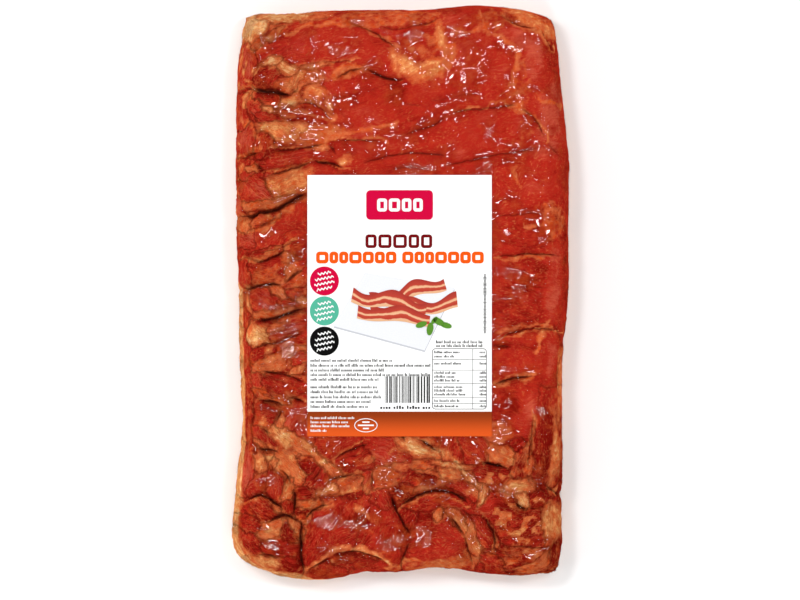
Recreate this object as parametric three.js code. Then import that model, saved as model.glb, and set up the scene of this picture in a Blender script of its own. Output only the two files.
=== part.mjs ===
// A whole slab of smoked bacon in a skin-tight vacuum pack, lying lean side up,
// with a paper label on top. Millimetres, +Z up, origin under the middle of the pack.
import * as THREE from "three";

// Driving sizes of the pack
const PACK_WIDTH = 233;
const PACK_LENGTH = 397;
const PACK_HEIGHT = 42; // to the top of the plump middle, under the label
const CROWN_X = 1.6; // how far the top falls from the middle to each long side
const CROWN_Y = 2.2; // and to each end
const EDGE_ROUND = 17; // how far in from the side the top edge starts to roll over
const WIDEST = 18; // height at which the pack is widest
const WIDEST_LEFT = 12; // the left side slopes more, down to its layer of fat
const FOOT_ROUND = 7; // rounding between the sides and the flat underside
const CELL = 5.5; // size of one facet

// How far the sides lie inside the pack's box, at nine even steps.
// The long sides run from the bottom to the top, the ends from left to right.
const LEFT_INSET = [-3, 2, 7.2, 5.4, 5, 4, 3.2, 3.6, 6];
const RIGHT_INSET = [6, 4.6, 5, 5, 0.6, 0.3, 1.4, 7.4, 10];
const BOTTOM_INSET = [6, 4, 0.4, 4.8, 5.6, 8, 4.2, 2.8, 4];
const TOP_INSET = [6, 7.4, 5.4, 3.8, 4.4, 3.4, 0.4, 4.8, 9];

// How far each rounded corner is pulled in past that, across and along
const CORNER_PULL = {
  bottomLeft: [15, 3],
  bottomRight: [5, 3],
  topLeft: [8, 3],
  topRight: [4, 5],
};
const CORNER_SHARP_X = 12; // higher powers keep a corner's rounding nearer to it
const CORNER_SHARP_Y = 22;

// The paper label
const LABEL_WIDTH = 127;
const LABEL_LENGTH = 180;
const LABEL_THICKNESS = 0.4;
const LABEL_X = -0.3;
const LABEL_Y = -9.8;
const LABEL_LIFT = 0.8; // its underside over the pack's crown
const GAP = 0.35; // between the label and the pack below it
const LABEL_CELLS = [10, 14];

// Deep folds of the lean, grouped by where they lie. Each is an arc:
// x and y of its two ends, how far it bows to its left, its depth, and the lip on its left side.
const FOLDS = {
  topEnd: [
    [-38, 187, -1, 167, 2, 3, 0],
    [-54, 158, -21, 152, 4, 4, 1],
    [-21, 152, 5, 147, -3, 4, 0],
    [-114, 140, -72, 140, -3, 7, 0],
    [70, 193, 94, 181, -2, 4, -1.5],
    [94, 181, 106, 166, 3, 3, -1.5],
    [-69, 129, -48, 117, 6, 3, 0],
  ],
  upperMiddle: [
    [-111, 91, -6, 104, 4, 3.5, 0],
    [-79, 83, -37, 83, 7, 5, 1],
    [-24, 87, 32, 93, 4, 3, 0],
    [2, 109, 34, 123, -3, 3, 0],
    [34, 123, 92, 120, 6, 3, 0],
    [32, 87, 97, 99, 1, 3, 0],
  ],
  leftOfLabel: [
    [-115, 51, -64, 69, -4, 7, 2],
    [-104, 20, -77, 31, -3, 4, 0],
    [-113, -2, -80, 7, 1, 5, 1],
    [-100, -22, -64, -11, 0, 6, 1],
    [-106, -34, -64, -28, -4, 3.5, 0],
    [-98, -53, -64, -64, 2, 4, 0],
    [-98, -75, -64, -78, 3, 6, 0],
    [-104, -110, -81, -112, 3, 5, 0],
  ],
  rightOfLabel: [
    [66, 24, 112, 25, 1, 3, 0],
    [68, -33, 112, -27, 4, 3.5, 0],
    [64, -64, 93, -58, 1, 5, 0],
    [104, -55, 90, -116, -4, 3, -1],
  ],
  bottomEnd: [
    [-111, -146, -79, -153, 8, 5, 0],
    [-98, -161, -68, -162, 7, 5, 0],
    [-72, -135, -74, -155, 1, 4, 0],
    [-68, -156, -66, -199, -2, 6, 0],
    [-67, -161, -47, -146, 3, 4, 0],
    [-45, -179, -65, -199, -1, 4, 0],
    [-45, -179, -8, -191, 6, 4, 1],
    [-8, -135, 8, -169, -1, 5, 0],
    [8, -169, 2, -195, -2, 4, 0],
    [-1, -148, 49, -147, 10, 5, 0],
    [34, -140, 65, -179, 7, 4, 1],
    [32, -155, 49, -194, 4, 4, 0],
    [54, -117, 73, -122, 0, 6, 0],
    [77, -142, 91, -151, -3, 4, 0],
    [116, -143, 98, -129, 0, 3, 0],
  ],
};
const FOLD_REACH = 6; // half width of a fold with no depth
const REACH_PER_DEPTH = 0.8; // and how much wider each millimetre of depth makes it
const FOLD_FADE = 8; // a fold runs out over this length at each end
const ARC_STEPS = 8;
const NEAR_LINE = 0.42 * CELL; // corners of facets this near a fold are moved towards its line
const ONTO_LINE = 0.7; // by this share of the way

// Long muscles of the lean, which fan from level beside the label to slanting above it
const MUSCLE_WIDTH = 18;
const MUSCLE_SWELL = 0.7;
const MUSCLE_SLANT = 0.35;

// Broad lumps of the chunkier bottom end and left side
const LUMP_SIZE = [13, 16];
const LUMP_SWELL = 1.1;

const HALF_W = PACK_WIDTH / 2;
const HALF_L = PACK_LENGTH / 2;
const { clamp, lerp, smoothstep } = THREE.MathUtils;

// A smooth value, t from 0 to 1, through an evenly spaced list.
function along(list, t) {
  const last = list.length - 1;
  const place = clamp(t, 0, 1) * last;
  const i = Math.min(Math.floor(place), last - 1);
  const w = place - i;
  const [a, b, c, d] = [i - 1, i, i + 1, i + 2].map((k) => list[clamp(k, 0, last)]);
  return b + 0.5 * w * (c - a + w * (2 * a - 5 * b + 4 * c - d + w * (3 * (b - c) + d - a)));
}

// The point of the pack's plan at u across and v along, each from -1 to 1.
function planPoint(u, v) {
  const nearEnd = Math.abs(v) ** CORNER_SHARP_Y;
  const nearSide = Math.abs(u) ** CORNER_SHARP_X;
  const { topLeft, topRight, bottomLeft, bottomRight } = CORNER_PULL;
  const leftCorner = v > 0 ? topLeft : bottomLeft;
  const rightCorner = v > 0 ? topRight : bottomRight;
  const left = -HALF_W + along(LEFT_INSET, (v + 1) / 2) + leftCorner[0] * nearEnd;
  const right = HALF_W - along(RIGHT_INSET, (v + 1) / 2) - rightCorner[0] * nearEnd;
  const bottomCorner = u < 0 ? bottomLeft : bottomRight;
  const topCorner = u < 0 ? topLeft : topRight;
  const bottom = -HALF_L + along(BOTTOM_INSET, (u + 1) / 2) + bottomCorner[1] * nearSide;
  const top = HALF_L - along(TOP_INSET, (u + 1) / 2) - topCorner[1] * nearSide;
  return new THREE.Vector2(lerp(left, right, (u + 1) / 2), lerp(bottom, top, (v + 1) / 2));
}

// Even steps over the rounded section of the pack: u from -1 to 1, and the rise from 0 to 1.
function sectionSteps(half) {
  const rise = PACK_HEIGHT - WIDEST;
  const flat = half - EDGE_ROUND;
  const path = new THREE.CurvePath();
  path.add(new THREE.EllipseCurve(-flat, 0, EDGE_ROUND, rise, Math.PI, Math.PI / 2, true));
  path.add(new THREE.LineCurve(new THREE.Vector2(-flat, rise), new THREE.Vector2(flat, rise)));
  path.add(new THREE.EllipseCurve(flat, 0, EDGE_ROUND, rise, Math.PI / 2, 0, true));
  const cells = Math.round(path.getLength() / CELL);
  return path.getSpacedPoints(cells).map((p) => ({ at: p.x / half, rise: p.y / rise }));
}

function crown(x, y) {
  return PACK_HEIGHT - CROWN_X * (x / HALF_W) ** 2 - CROWN_Y * (y / HALF_L) ** 2;
}

function widestHeight(x) {
  return lerp(WIDEST_LEFT, WIDEST, smoothstep(x, -HALF_W, -HALF_W / 2));
}

// A fold's arc as short straight steps.
function traceFold([x0, y0, x1, y1, bow, depth, lip]) {
  const start = new THREE.Vector2(x0, y0);
  const end = new THREE.Vector2(x1, y1);
  const chord = end.clone().sub(start);
  const left = new THREE.Vector2(-chord.y, chord.x).normalize();
  const middle = start.clone().add(end).multiplyScalar(0.5).addScaledVector(left, 2 * bow);
  const curve = new THREE.QuadraticBezierCurve(start, middle, end);
  return { points: curve.getPoints(ARC_STEPS), length: curve.getLength(), depth, lip };
}

const folds = Object.values(FOLDS).flat().map(traceFold);

// The nearest point of a fold to a place: how far off, on which side, and how far along.
function nearestOn(fold, place) {
  let best = { away: Infinity };
  for (let i = 0; i < ARC_STEPS; i += 1) {
    const a = fold.points[i];
    const step = fold.points[i + 1].clone().sub(a);
    const toPlace = place.clone().sub(a);
    const w = clamp(toPlace.dot(step) / step.lengthSq(), 0, 1);
    const point = a.clone().addScaledVector(step, w);
    const away = point.distanceTo(place);
    if (away < best.away) best = { away, point, side: step.cross(toPlace), share: (i + w) / ARC_STEPS };
  }
  return best;
}

// All folds at a place: how deep the deepest lies, its nearest point, and the lips beside them.
function foldsAt(place) {
  let deepest = 0;
  let lips = 0;
  let line = null;
  for (const fold of folds) {
    const { away, point, side, share } = nearestOn(fold, place);
    const reach = FOLD_REACH + REACH_PER_DEPTH * fold.depth;
    if (away >= reach) continue;
    const fade = smoothstep(Math.min(share, 1 - share) * fold.length, -1, FOLD_FADE);
    const depth = fold.depth * fade * (1 - away / reach) ** 2;
    if (depth > deepest) {
      deepest = depth;
      line = { away, point };
    }
    const raised = side * fold.lip > 0 ? Math.abs(fold.lip) : 0;
    lips += raised * fade * Math.sin((Math.PI * away) / reach);
  }
  return { deepest, lips, line };
}

// The soft swell of muscles and lumps between the folds.
function swell(x, y) {
  const slant = MUSCLE_SLANT * x * smoothstep(y, 10, 110);
  const muscle = Math.sin((2 * Math.PI * (y - slant)) / MUSCLE_WIDTH + Math.sin(x / 37));
  const lump = Math.sin(x / LUMP_SIZE[0] + Math.sin(y / 31)) * Math.sin(y / LUMP_SIZE[1] + Math.sin(x / 43));
  const chunky = Math.max(smoothstep(-y, 85, 120), smoothstep(-x, 50, 75));
  return MUSCLE_SWELL * muscle * (1 - chunky) + LUMP_SWELL * lump * chunky;
}

// The grid over the top, from side to side at the widest height.
function topSheet() {
  const across = sectionSteps(HALF_W);
  const upward = sectionSteps(HALF_L);
  const sheet = new THREE.PlaneGeometry(1, 1, across.length - 1, upward.length - 1);
  const at = sheet.getAttribute("position");
  for (let i = 0; i < at.count; i += 1) {
    const column = across[i % across.length];
    const row = upward[upward.length - 1 - Math.floor(i / across.length)];
    const place = planPoint(column.at, row.at);
    const { line } = foldsAt(place);
    const onRim = column.rise * row.rise < 0.5;
    if (line && line.away < NEAR_LINE && !onRim) place.lerp(line.point, ONTO_LINE);
    const low = widestHeight(place.x);
    const z = lerp(low, crown(place.x, place.y), Math.max(0, column.rise * row.rise));
    at.setXYZ(i, place.x, place.y, z);
  }
  return { sheet, columns: across.length, rows: upward.length };
}

// Indices of the sheet's rim, anticlockwise from the bottom left corner.
function rimOf({ columns, rows }) {
  const index = (c, r) => c + columns * (rows - 1 - r);
  const rim = [];
  for (let c = 0; c < columns - 1; c += 1) rim.push(index(c, 0));
  for (let r = 0; r < rows - 1; r += 1) rim.push(index(columns - 1, r));
  for (let c = columns - 1; c > 0; c -= 1) rim.push(index(c, rows - 1));
  for (let r = rows - 1; r > 0; r -= 1) rim.push(index(0, r));
  return rim;
}

// The wall's rings under the rim: height, and how far in from the rim.
function wallLevels(low) {
  const drop = (share) => FOOT_ROUND * (1 - Math.sqrt(1 - (1 - share) ** 2));
  const straight = (low - FOOT_ROUND) / 2 + FOOT_ROUND;
  return [
    [straight, -0.4],
    [FOOT_ROUND, 0],
    [FOOT_ROUND * 0.3, drop(0.3)],
    [0, FOOT_ROUND],
  ];
}

// The pack before its folds: the top sheet, the walls below its rim and the flat underside.
function plainPack() {
  const top = topSheet();
  const points = [...top.sheet.getAttribute("position").array];
  const faces = [...top.sheet.getIndex().array];
  const rim = rimOf(top);
  const inward = (x, y, inset) => {
    const pull = new THREE.Vector2(clamp(x, -HALF_W + 25, HALF_W - 25) - x, clamp(y, -HALF_L + 25, HALF_L - 25) - y);
    return pull.setLength(inset);
  };

  let upper = rim;
  for (let level = 0; level < wallLevels(WIDEST).length; level += 1) {
    const lower = rim.map((i) => {
      const [x, y, low] = points.slice(3 * i, 3 * i + 3);
      const [z, inset] = wallLevels(low)[level];
      const pull = inward(x, y, Math.abs(inset)).multiplyScalar(Math.sign(inset));
      points.push(x + pull.x, y + pull.y, z);
      return points.length / 3 - 1;
    });
    lower.forEach((b, k) => {
      const next = (k + 1) % rim.length;
      faces.push(b, lower[next], upper[next], b, upper[next], upper[k]);
    });
    upper = lower;
  }

  addUnderside(points, faces, upper);
  const pack = new THREE.BufferGeometry();
  pack.setAttribute("position", new THREE.Float32BufferAttribute(points, 3));
  return pack.setIndex(faces);
}

// The underside: two large triangles in the middle, and fans from their corners to the foot.
function addUnderside(points, faces, foot) {
  const corners = [[1, 1], [-1, 1], [-1, -1], [1, -1]].map(([sx, sy]) => {
    points.push(sx * 0.65 * HALF_W, sy * 0.75 * HALF_L, 0);
    return points.length / 3 - 1;
  });
  const cornerOf = (k) => {
    const a = foot[k];
    const b = foot[(k + 1) % foot.length];
    const x = points[3 * a] + points[3 * b];
    const y = points[3 * a + 1] + points[3 * b + 1];
    return corners[y > 0 ? (x > 0 ? 0 : 1) : x > 0 ? 3 : 2];
  };
  foot.forEach((a, k) => {
    const before = cornerOf((k + foot.length - 1) % foot.length);
    const here = cornerOf(k);
    if (before !== here) faces.push(a, before, here);
    faces.push(a, here, foot[(k + 1) % foot.length]);
  });
  faces.push(corners[0], corners[2], corners[1], corners[0], corners[3], corners[2]);
}

// The pack with its folds and swell pressed in along its own surface, and flat under the label.
function foldedPack() {
  const pack = plainPack();
  pack.computeVertexNormals();
  const at = pack.getAttribute("position");
  const normal = pack.getAttribute("normal");
  const point = new THREE.Vector3();
  const outward = new THREE.Vector3();
  for (let i = 0; i < at.count; i += 1) {
    point.fromBufferAttribute(at, i);
    outward.fromBufferAttribute(normal, i);
    const { deepest, lips } = foldsAt(new THREE.Vector2(point.x, point.y));
    const clearOfFloor = smoothstep(point.z, 1, WIDEST_LEFT);
    const softly = smoothstep(outward.z, 0.1, 0.8) * swell(point.x, point.y);
    point.addScaledVector(outward, clearOfFloor * (lips - deepest) + softly);
    const overX = Math.abs(point.x - LABEL_X) - LABEL_WIDTH / 2;
    const overY = Math.abs(point.y - LABEL_Y) - LABEL_LENGTH / 2;
    const ceiling = crown(point.x, point.y) + LABEL_LIFT - GAP;
    if (Math.max(overX, overY) < CELL) point.z = Math.min(point.z, ceiling);
    at.setXYZ(i, point.x, point.y, point.z);
  }
  pack.deleteAttribute("normal");
  return pack;
}

// The label follows the pack's crown.
function labelSheet() {
  const sheet = new THREE.BoxGeometry(LABEL_WIDTH, LABEL_LENGTH, LABEL_THICKNESS, ...LABEL_CELLS, 1);
  sheet.translate(LABEL_X, LABEL_Y, LABEL_LIFT + LABEL_THICKNESS / 2);
  const at = sheet.getAttribute("position");
  for (let i = 0; i < at.count; i += 1) at.setZ(i, at.getZ(i) + crown(at.getX(i), at.getY(i)));
  return sheet;
}

function addMesh(group, name, geometry, material) {
  const mesh = new THREE.Mesh(geometry, new THREE.MeshStandardMaterial(material));
  mesh.name = name;
  group.add(mesh);
}

const baconPack = new THREE.Group();
addMesh(baconPack, "vacuum_pack", foldedPack(), { color: 0xa6382a, roughness: 0.3, metalness: 0 });
addMesh(baconPack, "label", labelSheet(), { color: 0xffffff, roughness: 0.5, metalness: 0 });

export default baconPack;
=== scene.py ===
# %% [markdown]
# A slab of smoked bacon in its vacuum pack.
#
# The real thing is a whole piece of cured and smoked pork belly, about 40 cm long, lying
# lean side up. Clear film is drawn so tight over it that film and meat look like one wet
# skin. A flat paper label is stuck on top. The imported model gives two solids: the pack,
# out to its film, and the label. This lesson puts the meat and the film where the first
# one is, and prints the second one.

# %% Open the frame
import math

import bpy
import numpy as np
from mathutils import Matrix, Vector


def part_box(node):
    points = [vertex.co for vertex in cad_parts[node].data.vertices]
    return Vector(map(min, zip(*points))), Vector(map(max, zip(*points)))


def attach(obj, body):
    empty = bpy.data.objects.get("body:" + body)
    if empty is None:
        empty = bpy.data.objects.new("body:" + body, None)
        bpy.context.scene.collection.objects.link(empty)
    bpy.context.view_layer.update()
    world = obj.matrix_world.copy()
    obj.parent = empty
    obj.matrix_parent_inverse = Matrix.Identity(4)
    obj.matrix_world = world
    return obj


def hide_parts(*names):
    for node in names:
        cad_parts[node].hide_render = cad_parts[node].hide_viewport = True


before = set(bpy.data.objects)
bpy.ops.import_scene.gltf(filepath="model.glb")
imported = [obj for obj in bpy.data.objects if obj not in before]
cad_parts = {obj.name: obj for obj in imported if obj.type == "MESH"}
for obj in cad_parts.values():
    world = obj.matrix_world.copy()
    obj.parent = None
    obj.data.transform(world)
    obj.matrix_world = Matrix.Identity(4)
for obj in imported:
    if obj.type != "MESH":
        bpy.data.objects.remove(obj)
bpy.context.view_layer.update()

MM = 0.001
low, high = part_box("vacuum_pack")
print("pack, mm:", [round((b - a) / MM, 1) for a, b in zip(low, high)])

# %% [markdown]
# The pack's outline.
#
# Seen from above the pack is a long rectangle with soft corners whose sides wander by a few
# millimetres. It could be drawn as one closed curve, but then the surface inside would have
# to be filled. Here each side is a short list of how far it lies inside the pack's box, and
# a square grid is stretched between the four sides, so every point of the top has its own
# place u across and v along, each from -1 to 1.

# %% Sizes in millimetres
PACK_WIDTH = 233
PACK_LENGTH = 397
PACK_HEIGHT = 42
CROWN_X = 1.6
CROWN_Y = 2.2
EDGE_ROUND = 17
WIDEST = 18
WIDEST_LEFT = 12
FOOT_ROUND = 7
HALF_W = PACK_WIDTH / 2
HALF_L = PACK_LENGTH / 2

# how far each side lies inside the box, at even steps from the foot or from the left
LEFT_INSET = [-3.5, 2, 7, 5.2, 4.6, 2.8, 3, 3.4, 7.4]
RIGHT_INSET = [3.6, 4.4, 4.2, 4, 0.2, 0, -0.2, 5, 8]
BOTTOM_INSET = [7, 0.8, -0.6, 4.2, 4.8, 7, 4.2, 1.6, 2.4]
TOP_INSET = [5.5, 6.2, 4.4, 3.6, 3.8, 3, 0.4, 2.6, 6.5]
# how far each corner is drawn in, across and along, and how sharply
CORNER_PULL = {("left", "bottom"): (15, 3), ("right", "bottom"): (5, 3),
               ("left", "top"): (2.5, 3.5), ("right", "top"): (4, 4)}
CORNER_SHARP_X = 12
CORNER_SHARP_Y = 22

LABEL_WIDTH = 127
LABEL_LENGTH = 180
LABEL_X = -0.3
LABEL_Y = -9.8
LABEL_LIFT = 0.8
LABEL_THICKNESS = 0.4
LABEL_GAP = 0.35

# %% Helpers for smooth values
def ease(value, start, end):
    """0 before start, 1 after end, and smooth between."""
    t = np.clip((value - start) / (end - start), 0, 1)
    return t * t * (3 - 2 * t)


def mix(a, b, share):
    return a + (b - a) * share


def along(values, t):
    """A smooth value through an evenly spaced list, t from 0 to 1."""
    values = np.asarray(values, float)
    last = len(values) - 1
    place = np.clip(t, 0, 1) * last
    i = np.minimum(place.astype(int), last - 1)
    w = place - i
    a, b, c, d = (values[np.clip(i + k, 0, last)] for k in (-1, 0, 1, 2))
    return b + 0.5 * w * (c - a + w * (2 * a - 5 * b + 4 * c - d + w * (3 * (b - c) + d - a)))


def plan_point(u, v):
    """Where u, v lies on the pack's plan."""
    near_end, near_side = np.abs(v) ** CORNER_SHARP_Y, np.abs(u) ** CORNER_SHARP_X

    def across(side):
        return np.where(v > 0, CORNER_PULL[side, "top"][0], CORNER_PULL[side, "bottom"][0]) * near_end

    def lengthwise(end):
        return np.where(u < 0, CORNER_PULL["left", end][1], CORNER_PULL["right", end][1]) * near_side

    u_share, v_share = (u + 1) / 2, (v + 1) / 2
    left = -HALF_W + along(LEFT_INSET, v_share) + across("left")
    right = HALF_W - along(RIGHT_INSET, v_share) - across("right")
    bottom = -HALF_L + along(BOTTOM_INSET, u_share) + lengthwise("bottom")
    top = HALF_L - along(TOP_INSET, u_share) - lengthwise("top")
    return mix(left, right, u_share), mix(bottom, top, v_share)


def crown(x, y):
    """Height of the pack's smooth top."""
    return PACK_HEIGHT - CROWN_X * (x / HALF_W) ** 2 - CROWN_Y * (y / HALF_L) ** 2


def soft_noise(x, y, size, seed):
    """Smooth noise from -1 to 1 whose lumps are about size across. The seed fixes it."""
    table = np.random.default_rng(seed).uniform(-1, 1, (64, 64))
    i, j = np.floor(x / size).astype(int), np.floor(y / size).astype(int)
    s, t = x / size - i, y / size - j
    s, t = s * s * (3 - 2 * s), t * t * (3 - 2 * t)
    corner = [table[(i + a) % 64, (j + b) % 64] for a, b in ((0, 0), (1, 0), (0, 1), (1, 1))]
    return mix(mix(corner[0], corner[1], s), mix(corner[2], corner[3], s), t)


def cells(x, y, size, seed):
    """Irregular cells about size across: how far inside its cell a place is, and the cell's number."""
    draw = np.random.default_rng(seed)
    jitter, numbers = draw.uniform(0.1, 0.9, (2, 64, 64)), draw.uniform(-1, 1, (64, 64))
    i, j = np.floor(x / size).astype(int), np.floor(y / size).astype(int)
    nearest, second, number = np.full(len(x), 9.0), np.full(len(x), 9.0), np.zeros(len(x))
    for a in (-1, 0, 1):
        for b in (-1, 0, 1):
            p, q = (i + a) % 64, (j + b) % 64
            at = np.array([i + a + jitter[0, p, q], j + b + jitter[1, p, q]])
            away = np.hypot(at[0] - x / size, at[1] - y / size)
            closer = away < nearest
            second = np.where(closer, nearest, np.minimum(second, away))
            nearest = np.where(closer, away, nearest)
            number = np.where(closer, numbers[p, q], number)
    return (second - nearest) / 2 * size, number


# %% [markdown]
# The folds.
#
# Belly meat is a stack of muscles and fat that slide over each other, and the vacuum pulls
# them together into plump lobes with deep creases between. Creases could be carved by hand
# with sculpt brushes. Here each one is an arc on the plan, with its ends, how far it bows to
# its left, how deep it is, and how far the lip on its left stands up (or on its right, if
# negative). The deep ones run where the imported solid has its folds, and the fine ones are
# added for the meat.

# %% Deep folds
DEEP_FOLDS = [
    # top end
    (-38, 187, -1, 167, 2, 3, 0), (-54, 158, -28, 159, 0, 2.5, 1), (-46, 147, -23, 154, 1, 4, 1),
    (-23, 154, 5, 147, -3, 5, 0), (-114, 140, -100, 139, 0, 4, 1), (-104, 140, -74, 136, -1, 8, 2.2),
    (-76, 136, -70, 142, 0, 4, 0), (70, 193, 94, 181, -2, 4, -1.5), (94, 181, 106, 166, 3, 3, -1.5),
    (-73, 129, -47, 117, 6, 3, 1),
    # above the label
    (-112, 91, -94, 97, 1, 4, 1), (-88, 97, -51, 103, -2, 4, 1.2), (-51, 103, -44, 93, 1, 4, 0),
    (-46, 104, -10, 103, 1, 3, 0.6), (-93, 80, -60, 89, -1, 4, 1), (-62, 89, -37, 83, 2, 5, 1),
    (-26, 88, 34, 93, 5, 3, 0), (2, 109, 34, 123, -3, 3, 0), (34, 123, 82, 128, 1, 3, 0.6),
    (82, 128, 100, 104, 3, 3, 0.8), (32, 87, 97, 99, 1, 3, 0),
    # left of the label
    (-115, 51, -64, 69, -4, 7, 2), (-104, 20, -77, 31, -3, 4, 1.2), (-113, 1, -80, 6, 1, 5, 1),
    (-101, -22, -64, -11, 0, 6, 1.8), (-100, -38, -64, -28, -1, 3.5, 0), (-97, -54, -64, -64, 2, 4, 1),
    (-98, -75, -78, -79, 2, 5, 1.2), (-77, -72, -64, -78, 1, 6, 1), (-102, -110, -82, -112, 3, 5, 1),
    # right of the label
    (66, 24, 112, 25, 1, 3, 0), (68, -33, 112, -27, 4, 3.5, -0.6), (64, -64, 93, -58, 1, 5, 1.2),
    (93, -83, 88, -124, -1, 3, -1),
    # bottom end
    (-111, -146, -79, -153, 8, 5, -1), (-93, -161, -68, -162, 7, 5, -1.6), (-85, -121, -73, -134, 1, 4, 1),
    (-73, -134, -74, -156, 1, 5, 0), (-68, -156, -66, -199, -2, 6, 0), (-67, -161, -47, -146, 3, 4, -1.2),
    (-45, -182, -65, -199, -1, 4, 0), (-46, -182, -8, -191, 6, 4, 1), (-8, -138, 8, -169, -1, 5, 0),
    (8, -169, 2, -195, -2, 4, 0), (-1, -149, 49, -147, 10, 5.5, -1.4), (33, -154, 44, -168, 1, 5, 1),
    (44, -168, 49, -194, 1, 3.5, 0), (57, -154, 64, -179, 4, 4.5, 1), (54, -117, 75, -122, 1, 6, 1.5),
    (78, -142, 91, -150, -3, 5, 0), (116, -143, 98, -129, 0, 3, 0), (11, -101, 27, -111, 1, 5, -1),
    (-46, -117, -20, -104, 2, 4, 1),
]

# %% Fine folds
FINE_FOLDS = [
    # top end
    (-74, 149, -80, 141, 0, 2, 0), (-48, 134, -33, 137, -1, 2, 0), (-33, 137, -28, 127, 1, 1.6, 0),
    (0, 132, 18, 130, -3, 1.4, 0), (18, 130, 57, 137, 1, 1.4, 0), (-14, 181, 28, 190, -2, 2.4, 0),
    (-52, 194, -50, 187, 0, 3, 0), (38, 196, 38, 190, 0, 2, 0), (-106, 130, -90, 118, -4, 2.2, 0),
    (-62, 152, -55, 143, 1, 2, 0),
    # above the label
    (-97, 92, -92, 80, -3, 3, 0), (-90, 110, -89, 98, 3, 2, 0), (-8, 84, 24, 82, 3, 2, 0),
    (100, 104, 112, 91, 0, 2.2, 0), (64, 62, 84, 65, 0, 1.4, 0), (-99, 80, -89, 70, 1, 2, 0),
    # left of the label
    (-106, 46, -84, 57, -5, 2.4, 0), (-105, 27, -68, 37, -3, 2, 0), (-80, 4, -64, 16, 2, 3.4, 0),
    (-80, 1, -67, -8, -1, 2, 0), (-100, -21, -107, -12, 0, 3, 0), (-71, -59, -64, -55, 0, 2, 0),
    (-80, -79, -86, -93, 0, 4, 0), (-101, -68, -78, -75, 0, 2, 0), (-98, -92, -85, -98, -1, 3.4, 0),
    (-90, 3, -84, -6, -1, 2.4, 0), (-97, 45, -97, 52, 0, 1, 0),
    # right of the label
    (65, 52, 102, 54, 0, 2.2, 0), (66, 2, 108, 3, 0, 1, 0), (105, -20, 112, -40, 3, 2, 0),
    (64, -38, 78, -39, 0, 3.4, 0), (112, -41, 111, -74, -1, 1.6, 0),
    # bottom end
    (-3, -99, 4, -105, 2, 5, 0), (-76, -104, -74, -112, 0, 2.4, 0), (-74, -112, -64, -118, -1, 2.4, 0),
    (88, -124, 94, -135, -2, 2, 0), (75, -156, 75, -165, 0, 3, 0), (101, -189, 110, -172, 2, 2.4, 0),
    (-63, -131, -53, -120, -1, 3, 0), (-51, -132, -29, -129, 3, 3.4, 0), (-54, -144, -31, -141, 2, 2, 0),
    (-18, -146, -15, -138, -1, 3, 0), (-33, -160, -22, -153, 1, 3, 0), (-22, -125, -18, -136, 1, 3, 0),
    (-98, -181, -83, -185, 1, 4, -1), (-90, -117, -88, -126, 0, 4, 0), (28, -147, 29, -158, 1, 3, 0),
    (43, -150, 53, -157, 0, 3, 0), (-94, -136, -88, -144, 0, 3.4, 0), (5, -128, 30, -130, 3, 2, 0),
    (18, -150, 24, -160, 0, 1.6, 0), (-78, -128, -79, -142, 0, 2, 0),
]
FOLD_REACH = 6
FINE_FOLD_REACH = 3
REACH_PER_DEPTH = 0.8
FOLD_FADE = 8
FOLD_LINE_WIDTH = 2.5
ARC_STEPS = 8
print(len(DEEP_FOLDS), "deep folds and", len(FINE_FOLDS), "fine ones")

# %% How far a place is from an arc
def arc_points(x0, y0, x1, y1, bow):
    """Points along an arc, and its length."""
    start, end = np.array([x0, y0], float), np.array([x1, y1], float)
    chord = end - start
    left = np.array([-chord[1], chord[0]]) / np.hypot(*chord)
    middle = (start + end) / 2 + 2 * bow * left
    t = np.linspace(0, 1, ARC_STEPS + 1)[:, None]
    points = (1 - t) ** 2 * start + 2 * t * (1 - t) * middle + t * t * end
    return points, np.hypot(*np.diff(points, axis=0).T).sum()


def nearest_on(points, x, y):
    """Distance to the arc, which side of it (left is positive), and the share of the way along."""
    best = np.full(len(x), 1e9)
    side, share = np.zeros(len(x)), np.zeros(len(x))
    for i, (a, b) in enumerate(zip(points[:-1], points[1:])):
        step = b - a
        dx, dy = x - a[0], y - a[1]
        w = np.clip((dx * step[0] + dy * step[1]) / (step @ step), 0, 1)
        away = np.hypot(dx - w * step[0], dy - w * step[1])
        nearer = away < best
        best = np.where(nearer, away, best)
        side = np.where(nearer, step[0] * dy - step[1] * dx, side)
        share = np.where(nearer, (i + w) / ARC_STEPS, share)
    return best, side, share


def fold_field(folds, x, y, reach_base=FOLD_REACH):
    """The deepest fold at each place, the lips beside the folds, the signed distance to the
    nearest fold's line, and how strongly that line counts there."""
    deepest, lips, weight = np.zeros(len(x)), np.zeros(len(x)), np.zeros(len(x))
    line = np.full(len(x), 9.0)
    for x0, y0, x1, y1, bow, depth, lip in folds:
        points, length = arc_points(x0, y0, x1, y1, bow)
        reach = reach_base + REACH_PER_DEPTH * depth
        inside = np.all([x > points[:, 0].min() - reach, x < points[:, 0].max() + reach,
                         y > points[:, 1].min() - reach, y < points[:, 1].max() + reach], axis=0)
        near = np.flatnonzero(inside)
        away, side, share = nearest_on(points, x[near], y[near])
        fade = ease(np.minimum(share, 1 - share) * length, -1, FOLD_FADE)
        slope = np.clip(1 - away / reach, 0, 1)
        deepest[near] = np.maximum(deepest[near], depth * fade * (0.4 * slope ** 2 + 0.6 * slope ** 6))
        lips[near] += np.where(side * lip > 0, abs(lip), 0) * fade * slope
        counts = depth * fade * np.exp(-(away / FOLD_LINE_WIDTH) ** 2)
        stronger = counts > weight[near]
        line[near] = np.where(stronger, np.copysign(away, side), line[near])
        weight[near] = np.maximum(counts, weight[near])
    return deepest, lips, line, weight


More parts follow.
